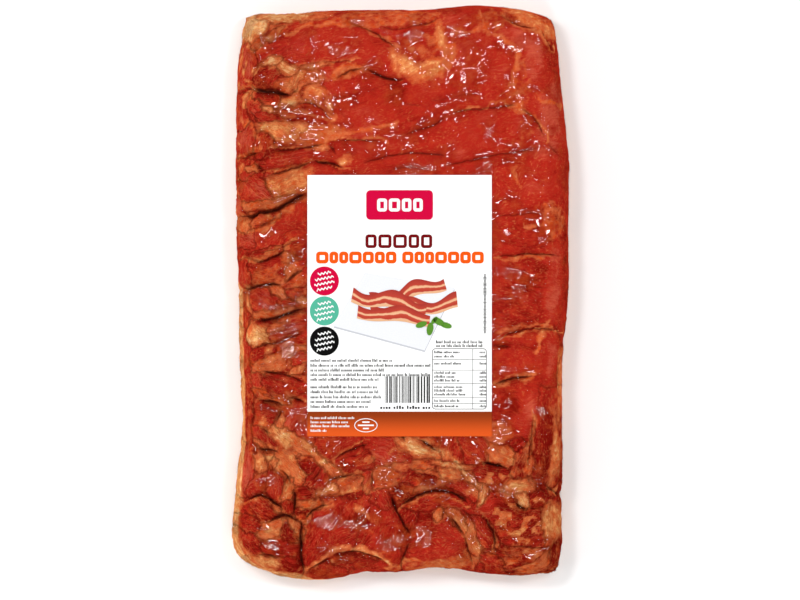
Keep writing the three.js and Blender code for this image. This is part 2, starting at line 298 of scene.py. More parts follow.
# %% [markdown]
# One sheet for meat and film.
#
# The meat and its film have the same form, a hair apart, so both start from one mesh. It is
# a flat grid, laid out evenly over the rounded section of the pack. Its rim is extruded
# downwards ring by ring for the side walls, and the last ring is closed for the underside.
# Then every point is moved to its place on the pack. The work in edit mode makes the
# structure, and the places come from the formulas above.

# %% Even steps over the rounded section
MEAT_CELL = 1.2
WALL_RINGS = 14
WALL_BULGE = 0.4
WALL_STRAIGHT = 0.62
RIM_SPAN = 25


def section_steps(half):
    """u from -1 to 1 and the rise from 0 to 1, at even steps over the pack's rounded top."""
    rise = PACK_HEIGHT - WIDEST
    turn = np.linspace(0, np.pi / 2, 60)
    inward, up = EDGE_ROUND * (1 - np.cos(turn)), rise * np.sin(turn)
    x = np.concatenate([-half + inward, half - inward[::-1]])
    z = np.concatenate([up, up[::-1]])
    length = np.concatenate([[0], np.cumsum(np.hypot(np.diff(x), np.diff(z)))])
    cells = round(length[-1] / MEAT_CELL)
    even = np.linspace(0, length[-1], cells + 1)
    return np.interp(even, length, x) / half, np.interp(even, length, z) / rise, even - length[-1] / 2


# %% Make the sheet in edit mode
def new_sheet(name, columns, rows):
    """A flat grid with its rim extruded down ring by ring and closed below."""
    bpy.ops.object.select_all(action="DESELECT")
    bpy.ops.mesh.primitive_grid_add(x_subdivisions=columns - 1, y_subdivisions=rows - 1, size=2)
    sheet = bpy.context.active_object
    sheet.name = sheet.data.name = name
    bpy.ops.object.mode_set(mode="EDIT")
    bpy.ops.mesh.select_mode(type="EDGE")
    bpy.ops.mesh.select_all(action="SELECT")
    bpy.ops.mesh.region_to_loop()
    for _ in range(WALL_RINGS):
        bpy.ops.mesh.extrude_edges_move(TRANSFORM_OT_translate={"value": (0, 0, -1)})
    bpy.ops.mesh.edge_face_add()
    bpy.ops.mesh.select_all(action="SELECT")
    bpy.ops.mesh.normals_make_consistent(inside=False)
    bpy.ops.object.mode_set(mode="OBJECT")
    return sheet


def read_points(mesh, what):
    """A row for each point: its place, if what is "co", or the way it faces, if it is "normal"."""
    flat = np.empty(3 * len(mesh.vertices))
    mesh.vertices.foreach_get(what, flat)
    return flat.reshape(-1, 3)


def place_points(mesh, places_mm):
    mesh.vertices.foreach_set("co", (places_mm * MM).ravel())
    mesh.update()


u_steps, u_rise, u_even = section_steps(HALF_W)
v_steps, v_rise, v_even = section_steps(HALF_L)
meat = new_sheet("meat", len(u_steps), len(v_steps))
sheet_points = read_points(meat.data, "co")
column = np.round((sheet_points[:, 0] + 1) / 2 * (len(u_steps) - 1)).astype(int)
row = np.round((sheet_points[:, 1] + 1) / 2 * (len(v_steps) - 1)).astype(int)
ring = np.round(-sheet_points[:, 2]).astype(int)
print("sheet:", len(u_steps), "by", len(v_steps), "points, and", WALL_RINGS, "rings of wall")

# %% Put the sheet on the plain pack
def plain_pack():
    """Every point's place on the pack before its folds, in mm, and how far down the wall it lies."""
    u, v = u_steps[column], v_steps[row]
    x, y = plan_point(u, v)
    widest = mix(WIDEST_LEFT, WIDEST, ease(x, -HALF_W, -HALF_W / 2))
    z = mix(widest, crown(x, y), np.clip(u_rise[column] * v_rise[row], 0, None))
    core_w, core_l = HALF_W - RIM_SPAN, HALF_L - RIM_SPAN
    pull_x, pull_y = np.clip(x, -core_w, core_w) - x, np.clip(y, -core_l, core_l) - y
    size = np.maximum(np.hypot(pull_x, pull_y), 1e-6)
    down = ring / WALL_RINGS
    straight = down < WALL_STRAIGHT
    foot = np.clip((down - WALL_STRAIGHT) / (1 - WALL_STRAIGHT), 0, 1) * np.pi / 2
    wall_z = np.where(straight, mix(widest, FOOT_ROUND, down / WALL_STRAIGHT),
                      FOOT_ROUND * (1 - np.sin(foot)))
    inset = np.where(straight, -WALL_BULGE * np.sin(np.pi * down / WALL_STRAIGHT),
                     FOOT_ROUND * (1 - np.cos(foot)))
    on_wall = ring > 0
    x = np.where(on_wall, x + inset * pull_x / size, x)
    y = np.where(on_wall, y + inset * pull_y / size, y)
    z = np.where(on_wall, wall_z, z)
    below = np.where(on_wall, widest - z, 0)
    skin_x = u_even[column] - below * pull_x / size
    skin_y = v_even[row] - below * pull_y / size
    return np.column_stack([x, y, z]), skin_x, skin_y


plain, skin_x, skin_y = plain_pack()
place_points(meat.data, plain)
outward = read_points(meat.data, "normal")
plan_x, plan_y = plain[:, 0], plain[:, 1]

# %% [markdown]
# Relief of the meat and of the film.
#
# The slab is many pieces of lean and fat, each a small cushion that ends in a crease. They
# could be cells of a random pattern, but then none would lie where the real one does. Here
# each is a listed ellipse, and a place belongs to the ellipse that it is deepest in.
# Folds, the swell of the muscles, lumps and fibres are added. The film follows all but the
# finest of it, bridges the cracks, and has small wrinkles of its own. Both are pushed along
# the surface's own direction, so a fold that reaches the side also notches the outline.

# %% The pieces of meat and fat
PIECES = [
    # x, y, half length, half width, turn in degrees, look, height in mm
    # The look is -1 for dark lean, 0 for red, 1 for pale lean, partly painted film sheen, 2 for orange fat,
    # 3 for cream fat.
    # top left corner
    (-102, 182, 13, 9, 50, 2.9, 0.3), (-82, 190, 26, 4.4, 3, 2.75, 0.2), (-91, 175, 14, 4, 35, 2.0, 0.2),
    (-47, 171, 54, 15, -3, 0.0, 1.6), (-107, 155, 18, 5.5, 85, 0.9, 0.3), (-93, 150, 12, 6, 40, 0.05, 0.8),
    (-88, 158, 7.5, 4, 15, 2.95, 0.8), (-78, 153, 8, 4, -28, 2.8, 0.8), (-73, 146, 10, 3.6, 30, 2.4, 0.8),
    (-62, 146, 9, 3.6, 15, 2.1, 0.7), (-58, 156, 9, 2.4, 5, 2.7, 0.4), (-51, 152, 5, 5, 0, 0.0, 0.5),
    (-60, 136, 6.5, 5.5, 0, 2.4, 0.8), (-48, 128, 2, 6, 10, 3.0, 0.5), (-92, 133, 10, 3.4, -3, -0.15, 0.6),
    (-77, 131, 7, 4.6, 10, 2.6, 1.0), (-92, 127, 8, 1.9, -18, 2.85, 0.4), (-101, 127, 7, 6, -40, 0.7, 0.7),
    (-65, 124, 18, 6.4, -3, -0.45, 1.2), (-110, 124, 14, 4, 88, 0.7, 0.4),
    (-93, 121, 14, 3.6, -22, 0.15, 0.6), (-79, 110, 19, 6.6, -8, 2.45, 0.6),
    (-58, 108, 17, 5.6, 8, 2.2, 0.5), (-106, 105, 10, 8, 80, 0.9, 1.0), (-95, 103, 8, 6, 60, 0.05, 1.0),
    (-70, 93, 20, 4.6, 10, 0.25, 1.0), (-57, 99, 6, 1.6, 12, 2.9, 0.2), (-46, 98, 7, 4, -50, -0.4, 0.6),
    (-39, 89, 3.4, 3.4, 0, 2.9, 0.3), (-39, 152, 12, 4, 3, 2.15, 0.6),
    # left of the label
    (-108, 82, 9, 5.5, 85, 1.25, 0.7), (-104, 84, 4, 3, 0, 2.2, 0.5), (-100, 69, 13, 8, -30, 0.6, 1.2),
    (-78, 74, 17, 8, 16, 2.4, 0.8), (-92, 61, 18, 3.4, 8, 2.2, 0.6), (-113, 58, 6, 3, 85, 1.05, 0.4),
    (-95, 50, 11, 5, 5, 2.0, 0.9), (-110, 46, 5, 3.6, 85, 2.3, 0.4), (-83, 44, 26, 8, 30, 0.25, 1.4),
    (-106, 36, 7, 6, 0, 0.85, 0.6), (-94, 26, 11, 4.4, 8, 0.55, 1.0), (-70, 31, 12, 4.6, 30, 0.4, 0.8),
    (-77, 24, 6, 4, 20, 2.35, 0.5), (-97, 18, 14, 4, 18, 0.2, 0.6), (-89, 12, 12, 5.6, 18, 1.9, 1.0),
    (-109, 10, 9, 4, 85, 0.65, 0.6), (-75, 14, 6, 3.6, 30, 2.2, 0.5), (-71, 8, 10, 4, 20, 2.0, 0.7),
    (-70, 0, 9, 4, 8, 1.6, 0.6), (-94, -6, 13, 7, -25, 0.35, 1.3), (-83, 1, 7, 3, -35, 2.3, 0.5),
    (-76, -8, 10, 2.6, -10, 0.05, 0.6), (-66, -6, 4, 4, 0, 2.35, 0.4), (-84, -14, 14, 3, 10, 2.25, 0.5),
    (-104, -8, 9, 2, 100, 2.6, 0.4), (-84, -24, 15, 2.4, 25, 2.15, 0.6), (-80, -28, 16, 2.4, 20, 0.65, 0.6),
    (-74, -20, 9, 3, 15, 0.45, 0.6), (-98, -31, 8.5, 6.6, -30, 2.7, 1.1),
    (-95, -41, 11, 4.6, 25, -0.1, 0.6), (-74, -35, 14, 4, 12, -0.05, 0.6), (-84, -47, 19, 6, 22, 2.2, 0.7),
    (-69, -46, 7, 5, 10, 0.9, 0.5), (-71, -54, 8, 1.7, 30, 2.7, 0.3), (-78, -60, 16, 2.6, -18, 0.75, 0.5),
    (-87, -64, 15, 5, -15, 0.4, 1.2), (-99, -60, 6, 5, 85, 0.65, 0.6), (-88, -72, 14, 2.8, -18, 2.0, 0.5),
    (-92, -85, 9, 7, 0, 0.5, 0.9), (-73, -85, 11, 8, 60, 0.55, 1.3), (-82, -89, 6, 3.6, 80, 2.2, 0.6),
    (-78, -101, 11, 5.4, -42, 2.75, 1.0), (-93, -101, 9, 4, -55, 0.15, 0.6),
    (-94, -105, 5.4, 2.4, -35, 2.75, 0.5), (-97, -118, 8, 3.8, 80, 2.55, 0.9),
    (-91, -113, 4.6, 3, 0, 2.6, 0.8), (-76, -120, 12, 8, -40, 2.4, 1.2), (-88, -117, 4, 3, 60, 2.3, 0.5),
    (-70, -107, 12, 4, -35, 2.3, 0.7), (-65, -98, 8, 5, -60, 0.6, 0.8), (-106, -70, 40, 3, 90, 1.25, 0.0),
    # bottom left
    (-107, -125, 20, 4.6, 86, 1.0, 0.3), (-101, -135, 11, 7, 65, 0.3, 0.8),
    (-87, -133, 9, 5.6, -70, 1.0, 0.9), (-77, -135, 9, 3.6, 80, 2.4, 0.6), (-78, -149, 6, 4, 70, -0.3, 0.5),
    (-97, -150, 16, 9, -22, -0.1, 1.2), (-85, -150, 5, 3, -50, 2.4, 0.4), (-105, -160, 8, 8, 0, 0.2, 0.9),
    (-106, -172, 11, 6, -40, 0.1, 0.5), (-89, -163, 10, 6, 20, 2.35, 1.0), (-72, -163, 8, 4, 110, 2.4, 0.7),
    (-78, -166, 9, 5, -65, -0.7, 0.4), (-84, -176, 12, 7, 0, 0.3, 1.2), (-92, -187, 10, 4, -20, 2.6, 0.5),
    (-76, -190, 9, 5, -25, -0.1, 0.6), (-67, -119, 8, 5.6, 0, -0.5, 0.5),
    (-62, -110, 14, 3.4, -38, 2.7, 0.5), (-58, -130, 8, 6.6, 40, 0.0, 0.8),
    (-45, -124, 8, 3.4, -40, 2.2, 0.5), (-49, -136, 10, 3.2, 22, 2.65, 0.7),
    (-35, -132, 12, 4.6, 0, 2.05, 0.7), (-66, -140, 7, 6, 0, -0.2, 0.6), (-63, -147, 9, 3.4, -10, 2.2, 0.6),
    (-67, -155, 6, 5, 0, -0.6, 0.3), (-34, -140, 7, 4, 0, -0.1, 0.5), (-46, -167, 27, 15, 55, -0.1, 1.8),
    (-45, -106, 17, 8, 20, -0.1, 0.8), (-31, -116, 16, 9, 20, -0.3, 0.9), (-23, -130, 7, 4, 85, 0.5, 0.6),
    (-33, -186, 17, 4, -3, -0.35, 0.4),
    # bottom middle and right
    (-12, -110, 14, 9, -20, 0.5, 0.6), (-12, -128, 11, 6, 10, 2.05, 0.5),
    (-12, -168, 20, 17, 60, -0.05, 1.4), (-12, -143, 8, 6, -60, 0.2, 0.6), (13, -108, 15, 5, -24, 2.8, 1.0),
    (21, -104, 6, 3, -25, -0.6, 0.3), (35, -108, 9, 7, 70, 1.3, 0.6), (33, -119, 12, 2.6, -10, 2.9, 0.5),
    (50, -131, 11, 2.8, -42, 2.9, 0.5), (34, -126, 8, 4, -15, 2.4, 0.5), (6, -120, 12, 2.6, -5, 2.1, 0.4),
    (16, -128, 13, 4, 6, -0.6, 0.7), (0, -139, 8, 6, -20, -0.85, 0.4), (20, -135, 12, 1.8, 14, 2.2, 0.3),
    (20, -144, 23, 5.4, 2, -0.05, 1.2), (4, -158, 9, 6, 60, 0.1, 0.7), (20, -172, 22, 14, 8, 0.1, 1.6),
    (26, -153, 5, 2.6, 75, 2.4, 0.4), (42, -160, 11, 3.6, -50, 2.5, 0.6),
    (50, -171, 12, 4.6, -70, 2.35, 0.6), (45, -137, 9, 5, -15, 0.6, 0.6), (57, -140, 7, 3, 75, 2.7, 0.4),
    (68, -147, 12, 7, 10, 0.3, 0.8), (60, -168, 11, 5.4, -60, -0.05, 1.0), (48, -104, 12, 7, -35, 0.2, 0.5),
    (65, -129, 9.5, 7.6, 0, -0.4, 0.9), (66, -98, 8, 6, 0, 2.15, 0.7), (70, -112, 9, 5, -20, 2.3, 0.7),
    (75, -80, 12, 8, 15, -0.35, 0.6), (86, -88, 16, 7, 75, 1.0, 0.3), (81, -105, 5, 4, 60, -0.1, 0.5),
    (84, -118, 9, 5, 80, 1.5, 0.5), (100, -102, 25, 6.4, 88, -0.55, 0.6),
    (107, -108, 22, 2.8, 88, 2.5, 0.2), (82, -134, 9, 4.6, 5, 2.5, 0.8), (84, -144, 6, 4, -60, 2.85, 0.6),
    (97, -143, 9, 4, 28, -0.2, 0.6), (106, -159, 12, 8, 85, 2.5, 0.6), (85, -164, 14, 11, 10, 0.2, 0.8),
    (78, -183, 20, 7, -6, 1.5, 0.7), (95, -187, 12, 5, 20, 2.1, 0.5), (106, -182, 7, 3, 80, -0.6, 0.3),
    (32, -189, 17, 3, 8, 2.3, 0.3), (64, -186, 8, 5, -30, 0.2, 0.5),
    # right of the label and top right
    (83, 38, 24, 12, 0, -0.1, 0.3), (82, 12, 24, 10, 0, -0.2, 0.3), (80, -14, 22, 11, 0, -0.15, 0.4),
    (85, -45, 20, 11, 0, 0.35, 0.4), (70, -38, 8, 3, 0, -0.8, 0.2), (82, -32, 14, 3.6, 0, 0.4, 0.3),
    (106, 5, 34, 5.6, 89, 1.15, 0.2), (105, 48, 11, 5, 85, 1.9, 0.3), (104, -45, 16, 5, 85, 1.15, 0.3),
    (75, 75, 13, 10, 20, 0.1, 0.3), (100, 75, 13, 12, 0, 0.35, 0.3), (58, 112, 40, 10, 8, -0.05, 0.6),
    (60, 92, 40, 5, 8, 0.1, 0.4), (10, 122, 30, 8, 18, 0.0, 0.5), (-18, 130, 16, 8, 20, 0.1, 0.6),
    (-28, 142, 20, 6, 5, -0.05, 0.7), (45, 138, 26, 6, 6, 0.0, 0.5), (50, 160, 18, 15, 70, 0.15, 0.8),
    (6, 156, 9, 5, -40, 2.7, 0.5), (21, 154, 13, 5.6, 22, 2.45, 0.5), (34, 163, 9, 5, 62, 2.2, 0.4),
    (-3, 161, 7.5, 3, 105, 2.9, 0.4), (16, 172, 10, 6, 12, 1.7, 0.9), (28, 177, 10, 2.6, 100, 2.5, 0.3),
    (5, 180, 20, 5, 8, -0.15, 0.5), (-14, 188, 30, 4.6, 3, 2.0, 0.4), (62, 185, 8, 8, 60, 1.8, 0.3),
    (42, 187, 10, 6, 0, 0.15, 0.5), (91, 187, 18, 5, -33, 2.35, 0.4), (80, 174, 18, 6, -25, 0.6, 0.4),
    (92, 160, 16, 6, 85, 0.7, 0.3), (104, 160, 18, 4, 95, -0.15, 0.3), (82, 140, 14, 5, 80, 1.6, 0.3),
    (70, 150, 12, 6, 80, 0.5, 0.4), (103, 125, 20, 9, 85, 0.7, 0.3), (86, 112, 10, 5, 70, 1.4, 0.3),
    (107, 104, 14, 6, 85, 0.6, 0.3),
]
PIECE_TABLE = np.array(PIECES)
FAT_LOOK = 1.2
TONE_SPREAD = 6
print(len(PIECES), "pieces of meat and fat")


def piece_field(x, y):
    """For each place: the piece it belongs to, how far from its middle (0) to its edge (1) it lies,
    its distance to the next piece, the tone of the lean, how deep inside fat it lies, and how pale
    that fat is."""
    near, second, fat_near, lean_near = (np.full(len(x), 9.0) for _ in range(4))
    own, fat_wide, fat_pale = np.zeros(len(x), int), np.ones(len(x)), np.full(len(x), 0.4)
    tone, weights = np.zeros(len(x)), np.full(len(x), math.exp(-TONE_SPREAD))
    for number, (cx, cy, long, wide, turn, look, height) in enumerate(PIECES):
        c, s = math.cos(math.radians(turn)), math.sin(math.radians(turn))
        dx, dy = x - cx, y - cy
        away = np.hypot((dx * c + dy * s) / long, (dy * c - dx * s) / wide)
        second = np.minimum(second, np.maximum(away, near))
        own = np.where(away < near, number, own)
        near = np.minimum(near, away)
        if look > FAT_LOOK:
            fat_wide = np.where(away < fat_near, min(long, wide), fat_wide)
            fat_pale = np.where(away < fat_near, look - 2, fat_pale)
            fat_near = np.minimum(fat_near, away)
        else:
            lean_near = np.minimum(lean_near, away)
            weight = np.exp(-TONE_SPREAD * away)
            tone, weights = tone + look * weight, weights + weight
    narrow = PIECE_TABLE[own, 2:4].min(axis=1)
    most = np.where(fat_pale < 0, 1.5, 3.6) * fat_pale - 0.2
    fat_depth = np.minimum((np.minimum(lean_near, 1.15) - fat_near) * 0.6 * fat_wide, most)
    return own, near, (second - near) / 2 * narrow, tone / weights, fat_depth, fat_pale


# %% Push the relief in
MUSCLE_WIDTH, MUSCLE_SWELL, MUSCLE_SLANT = 18, 0.45, 0.35
LUMP_SIZE, LUMP_SWELL = (13, 16), 1.1
SLANT_FROM, SLANT_TO = 10, 110
BEND, BEND_SIZE, SMALL_BEND, SMALL_BEND_SIZE, RAG_SIZE = 2.6, 11, 0.9, 4, 2.2
FOLD_BEND, PIECE_BEND = 0.35, 0.6
BIT_SIZE, BIT_CREASE, BIT_CREASE_WIDTH = 5.5, 0.9, 1.1
PIECE_CREASE, PIECE_CREASE_WIDTH = 1.05, 1.8
CRINKLE = 0.14
FILM_GAP = 0.3

slant = MUSCLE_SLANT * plan_x * ease(plan_y, SLANT_FROM, SLANT_TO)
chunky = np.maximum(ease(-plan_y, 85, 120), ease(-plan_x, 50, 75))
muscle = np.sin(2 * np.pi * (plan_y - slant) / MUSCLE_WIDTH + np.sin(plan_x / 37))
lump = (np.sin(plan_x / LUMP_SIZE[0] + np.sin(plan_y / 31))
        * np.sin(plan_y / LUMP_SIZE[1] + np.sin(plan_x / 43)))
swell = MUSCLE_SWELL * muscle * (1 - chunky) + LUMP_SWELL * lump * chunky


def skin_noise(size, seed):
    return soft_noise(skin_x, skin_y, size, seed)


bend_x = BEND * skin_noise(BEND_SIZE, 3) + SMALL_BEND * skin_noise(SMALL_BEND_SIZE, 13)
bend_y = BEND * skin_noise(BEND_SIZE, 4) + SMALL_BEND * skin_noise(SMALL_BEND_SIZE, 14)
rag_x, rag_y = (SMALL_BEND * skin_noise(RAG_SIZE, seed) for seed in (15, 16))
warp_x, warp_y = skin_x + bend_x, skin_y + bend_y
across = warp_y - MUSCLE_SLANT * warp_x * ease(skin_y, SLANT_FROM, SLANT_TO)

fold_x, fold_y = plan_x + FOLD_BEND * bend_x, plan_y + FOLD_BEND * bend_y
deep_folds, deep_lips, deep_line, deep_weight = fold_field(DEEP_FOLDS, fold_x, fold_y)
fine_folds, fine_lips, fine_line, fine_weight = fold_field(FINE_FOLDS, fold_x, fold_y, FINE_FOLD_REACH)
fold_depth = np.maximum(deep_folds, fine_folds)
fold_line = np.where(deep_weight > fine_weight, deep_line, fine_line)
fold_weight = np.maximum(deep_weight, fine_weight)

own, near, to_edge, lean_tone, fat_depth, fat_pale = piece_field(
    plan_x + PIECE_BEND * bend_x + rag_x, plan_y + PIECE_BEND * bend_y + rag_y)
piece_x, piece_y, _, _, piece_turn, _, piece_height = PIECE_TABLE[own].T
bulge = piece_height * np.clip(1 - near ** 2, -0.4, 1)
smooth = ease(piece_height, 1.1, 1.5)
bit_in, bit_number = cells(warp_x, warp_y * 1.2, BIT_SIZE, 52)
crumbly = chunky * (1 - smooth) * ease(skin_noise(30, 53), -0.2, 0.4)
piece_crease = (PIECE_CREASE * np.clip(piece_height, 0, 1) * np.exp(-to_edge / PIECE_CREASE_WIDTH)
                * mix(0.25, 1, chunky) * ease(-near, -1.6, -1.1) * ease(skin_noise(10, 54), -0.35, 0.6))
bit_crease = BIT_CREASE * np.exp(-bit_in / BIT_CREASE_WIDTH) * crumbly
small_creases = piece_crease + bit_crease

in_chunks = (piece_y < -100) | (piece_x < -52)
turn = np.radians(piece_turn) * in_chunks
across_here = np.where(in_chunks, warp_y, across)
fibre_x = warp_x * np.cos(turn) + across_here * np.sin(turn)
fibre_y = across_here * np.cos(turn) - warp_x * np.sin(turn)
lumps = 0.55 * soft_noise(warp_x, warp_y, 9, 5) + 0.3 * soft_noise(warp_x, warp_y, 4.5, 6)
lumps = lumps * mix(0.35, 1, chunky)
ridges = 0.2 * soft_noise(fibre_x / 7, fibre_y, 3.4, 7)
creases = (np.clip(1 - np.abs(soft_noise(fibre_x / 2.5, fibre_y, 6, 8)) * 6, 0, 1)
           * mix(0.3, 0.55, chunky) * (1 - 0.6 * smooth))

clear_of_floor = ease(plain[:, 2], 1, WIDEST_LEFT)
faces_up = ease(outward[:, 2], 0.1, 0.8)
shared = (clear_of_floor * (deep_lips + fine_lips - fold_depth) + faces_up * (swell + bulge)
          + clear_of_floor * (lumps + ridges - 0.7 * small_creases))
film_height = shared + CRINKLE * np.abs(soft_noise(fibre_x / 2, fibre_y, 2.6, 9)) * clear_of_floor
cracks = 0.12 * fold_weight * np.exp(-(fold_line / 1.2) ** 2)
meat_height = shared - FILM_GAP - clear_of_floor * (creases + 0.3 * small_creases + cracks)


def under_label(places):
    """The pack is pressed flat where the label lies on it."""
    x, y, z = places.T
    beyond = np.maximum(np.abs(x - LABEL_X) - LABEL_WIDTH / 2, np.abs(y - LABEL_Y) - LABEL_LENGTH / 2)
    ceiling = crown(x, y) + LABEL_LIFT - LABEL_GAP
    return np.column_stack([x, y, np.where(beyond < 2, np.minimum(z, ceiling), z)])


film_places = under_label(plain + outward * film_height[:, None])
meat_places = under_label(plain + outward * meat_height[:, None])
film_z, meat_z = film_places[:, 2], meat_places[:, 2]
meat_places[:, 2] = np.clip(np.where(film_z < meat_z + 0.1, film_z - FILM_GAP, meat_z), FILM_GAP, None)
film_places[:, 2] = np.clip(film_z, 0, None)
place_points(meat.data, meat_places)
bpy.ops.object.select_all(action="DESELECT")
meat.select_set(True)
bpy.context.view_layer.objects.active = meat
bpy.ops.object.shade_smooth()
bpy.ops.object.duplicate()
film = bpy.context.active_object
film.name = film.data.name = "clear_film"
place_points(film.data, film_places)
print("meat and film have", len(meat.data.polygons), "faces each")

# %% [markdown]
# Where the fat lies.
#
# Fat shows as tan pieces between the lean ones, as thin seams along the muscles, and as a
# layer round the lower sides. It could be painted by hand as a texture. Here the pieces
# above say where it is, the seams are listed arcs, and each point of the meat keeps
# how far inside the fat it lies, in millimetres. The material later sharpens and roughens
# that edge. Fat has a paleness from orange (0) to cream (1).

# %% Seams of fat and its layer round the sides
FAT_SEAMS = [
    # an arc, its width, and the paleness of its fat
    (-79, 177, -1, 169, 12, 1.3, 0.2), (-44, 106, -3, 115, 2, 1.6, 0.3), (54, 194, 57, 182, 0, 1.6, 0.2),
    (57, 182, 35, 180, 1, 1.4, 0.2), (57, 182, 82, 165, 2, 1.8, 0.2), (82, 165, 83, 132, -3, 2.4, 0.15),
    (98, 131, 113, 128, 0, 1.6, 0.2), (-110, 40, -74, 61, -5, 2, 0.4), (-110, 24, -84, 30, -5, 2, 0.4),
    (-72, -103, -42, -125, 1, 3, 0.45), (15, -105, 40, -118, 2, 3.4, 0.75),
    (40, -118, 58, -134, -2, 3.4, 0.75), (3, -119, 40, -129, -2, 1.8, 0.5),
    (92, -85, 90, -125, 0, 1.6, 0.5), (-65, -196, -45, -178, 1, 2.4, 0.6),
    (-45, -178, -8, -190, 6, 3.8, 0.75), (-112, -172, -78, -197, -4, 4.4, 0.55),
    (-31, -148, -22, -158, 2, 2.6, 0.4), (-60, -151, -47, -143, 1, 2.2, 0.4),
    (-8, -192, 12, -186, 0, 2, 0.4), (49, -191, 47, -178, 1, 2, 0.5), (68, -30, 105, -24, 4, 1.2, 0.2),
    (64, 22, 104, 24, 1, 1.2, 0.2), (79, 86, 82, 70, -1, 1.4, 0.3), (86, 44, 100, 47, 1, 1.6, 0.35),
    (64, -66, 92, -60, 1, 1.4, 0.2), (-6, -112, 20, -103, 2, 2, 0.6), (96, -40, 103, -20, 2, 2.4, 0.25),
    (112, -40, 111, -85, 0, 3, 0.35), (-68, -114, -60, -104, 1, 2, 0.3), (-80, 121, -50, 118, 3, 1.4, 0.4),
    (-110, 118, -96, 96, 3, 1.6, 0.3),
]
EDGE_FAT_TOP = 9
EDGE_FAT_LEFT = 30
FAT_LEAST, FAT_MOST = -6, 4
LIP_FAT = 1.5
SIDE_PALE, LIP_PALE, BIT_PALE = 0.75, 0.5, 0.4
FAT_BITS = 0.45


def fat_field():
    """How far inside the fat each point lies, and the paleness of the fat there."""
    x = plan_x + 2.2 * skin_noise(6, 21) + 0.9 * skin_noise(2.4, 22)
    y = plan_y + 2.2 * skin_noise(6, 23) + 0.9 * skin_noise(2.4, 24)
    inside = np.full(len(x), float(FAT_LEAST))
    pale_sum, weight_sum = np.zeros(len(x)), np.full(len(x), 1e-9)

    def add(depth, pale):
        nonlocal inside, pale_sum, weight_sum
        weight = np.exp(1.5 * np.clip(depth, FAT_LEAST, FAT_MOST))
        inside = np.maximum(inside, depth)
        pale_sum, weight_sum = pale_sum + weight * pale, weight_sum + weight

    add(fat_depth + 0.8 * skin_noise(2.4, 26), fat_pale)
    for x0, y0, x1, y1, bow, width, pale in FAT_SEAMS:
        away, _, _ = nearest_on(arc_points(x0, y0, x1, y1, bow)[0], x, y)
        add(width / 2 - away, pale)
    for x0, y0, x1, y1, bow, depth, lip in DEEP_FOLDS:
        if lip:
            away, side, _ = nearest_on(arc_points(x0, y0, x1, y1, bow)[0], x, y)
            add(np.where(side * lip > 0, LIP_FAT - away, FAT_LEAST), LIP_PALE)
    bits = np.where(bit_number > FAT_BITS, np.minimum(bit_in, 2), FAT_LEAST)
    add(bits * crumbly + FAT_LEAST * (1 - crumbly), BIT_PALE)
    lower_left = ease(-plan_x, 95, 110) * ease(-plan_y, -20, 10)
    corner = ease(np.hypot(plan_x + 95, plan_y + 190), 60, 20)
    fat_top = EDGE_FAT_TOP + (EDGE_FAT_LEFT - EDGE_FAT_TOP) * np.maximum(lower_left, corner)
    fat_top = fat_top + 1.5 * skin_noise(14, 25)
    add(np.clip(fat_top - plain[:, 2], FAT_LEAST, FAT_MOST), SIDE_PALE)
    return np.clip(inside, FAT_LEAST, FAT_MOST), pale_sum / weight_sum


# %% [markdown]
# Tone of the lean, and painted shade in the creases.
#
# Some lobes are bright red, some nearly brown, and some pinkish, a paler tone of their own with a painted
# film sheen where the film lies off the meat.
# The looks of the pieces give the tone, from -1 for dark to 1 for a pale salmon red, and they
# run into each other softly. What a material has to know about a place is kept on the mesh
# as named numbers, one for each point, so that nothing has to be painted or unwrapped.

# %% Tones and attributes
def keep_attribute(mesh, name, values):
    """Keeps one number for each point under that name."""
    mesh.attributes.new(name, "FLOAT", "POINT").data.foreach_set("value", np.asarray(values, np.float32))


fat, pale = fat_field()
right_band = ease(plan_x, 62, 75) * ease(-plan_y, -95, -70)
tone = (lean_tone - 0.25 * chunky - 0.4 * right_band + 0.3 * skin_noise(24, 31)
        + 0.35 * soft_noise(warp_x, warp_y, 8, 32) + 0.3 * bit_number * crumbly)
# How much painted shade each place gets in the folds and creases.
cavity = 0.1 * fold_depth + 0.06 * small_creases + 0.2 * creases
marbled = chunky * (1 - 0.6 * smooth)
right_column = ease(plan_x, 55, 75) * ease(60 - plan_y, 0, 25) * ease(plan_y, -95, -70)
for name, values in {"fat": fat, "pale": pale, "tone": tone, "marbled": marbled,
                     "fold_line": fold_line, "fold_weight": fold_weight * clear_of_floor,
                     "cavity": cavity * clear_of_floor}.items():
    keep_attribute(meat.data, name, values)
keep_attribute(film.data, "clinging", np.maximum(marbled, right_column))
fibre = np.column_stack([fibre_x, fibre_y, plain[:, 2]]).astype(np.float32).ravel()
for piece in (meat, film):
    piece.data.attributes.new("fibre", "FLOAT_VECTOR", "POINT").data.foreach_set("vector", fibre)
print("fat covers", round(100 * float((fat > 0).mean())), "percent of the points")

# %% [markdown]
# Writing materials as sums.
#
# A material is a net of nodes, and most of it is arithmetic. Wiring that by hand is slow to
# write and to read. A small class wraps a socket, so that plus, minus and times add their
# Math nodes, and one method makes any other node.

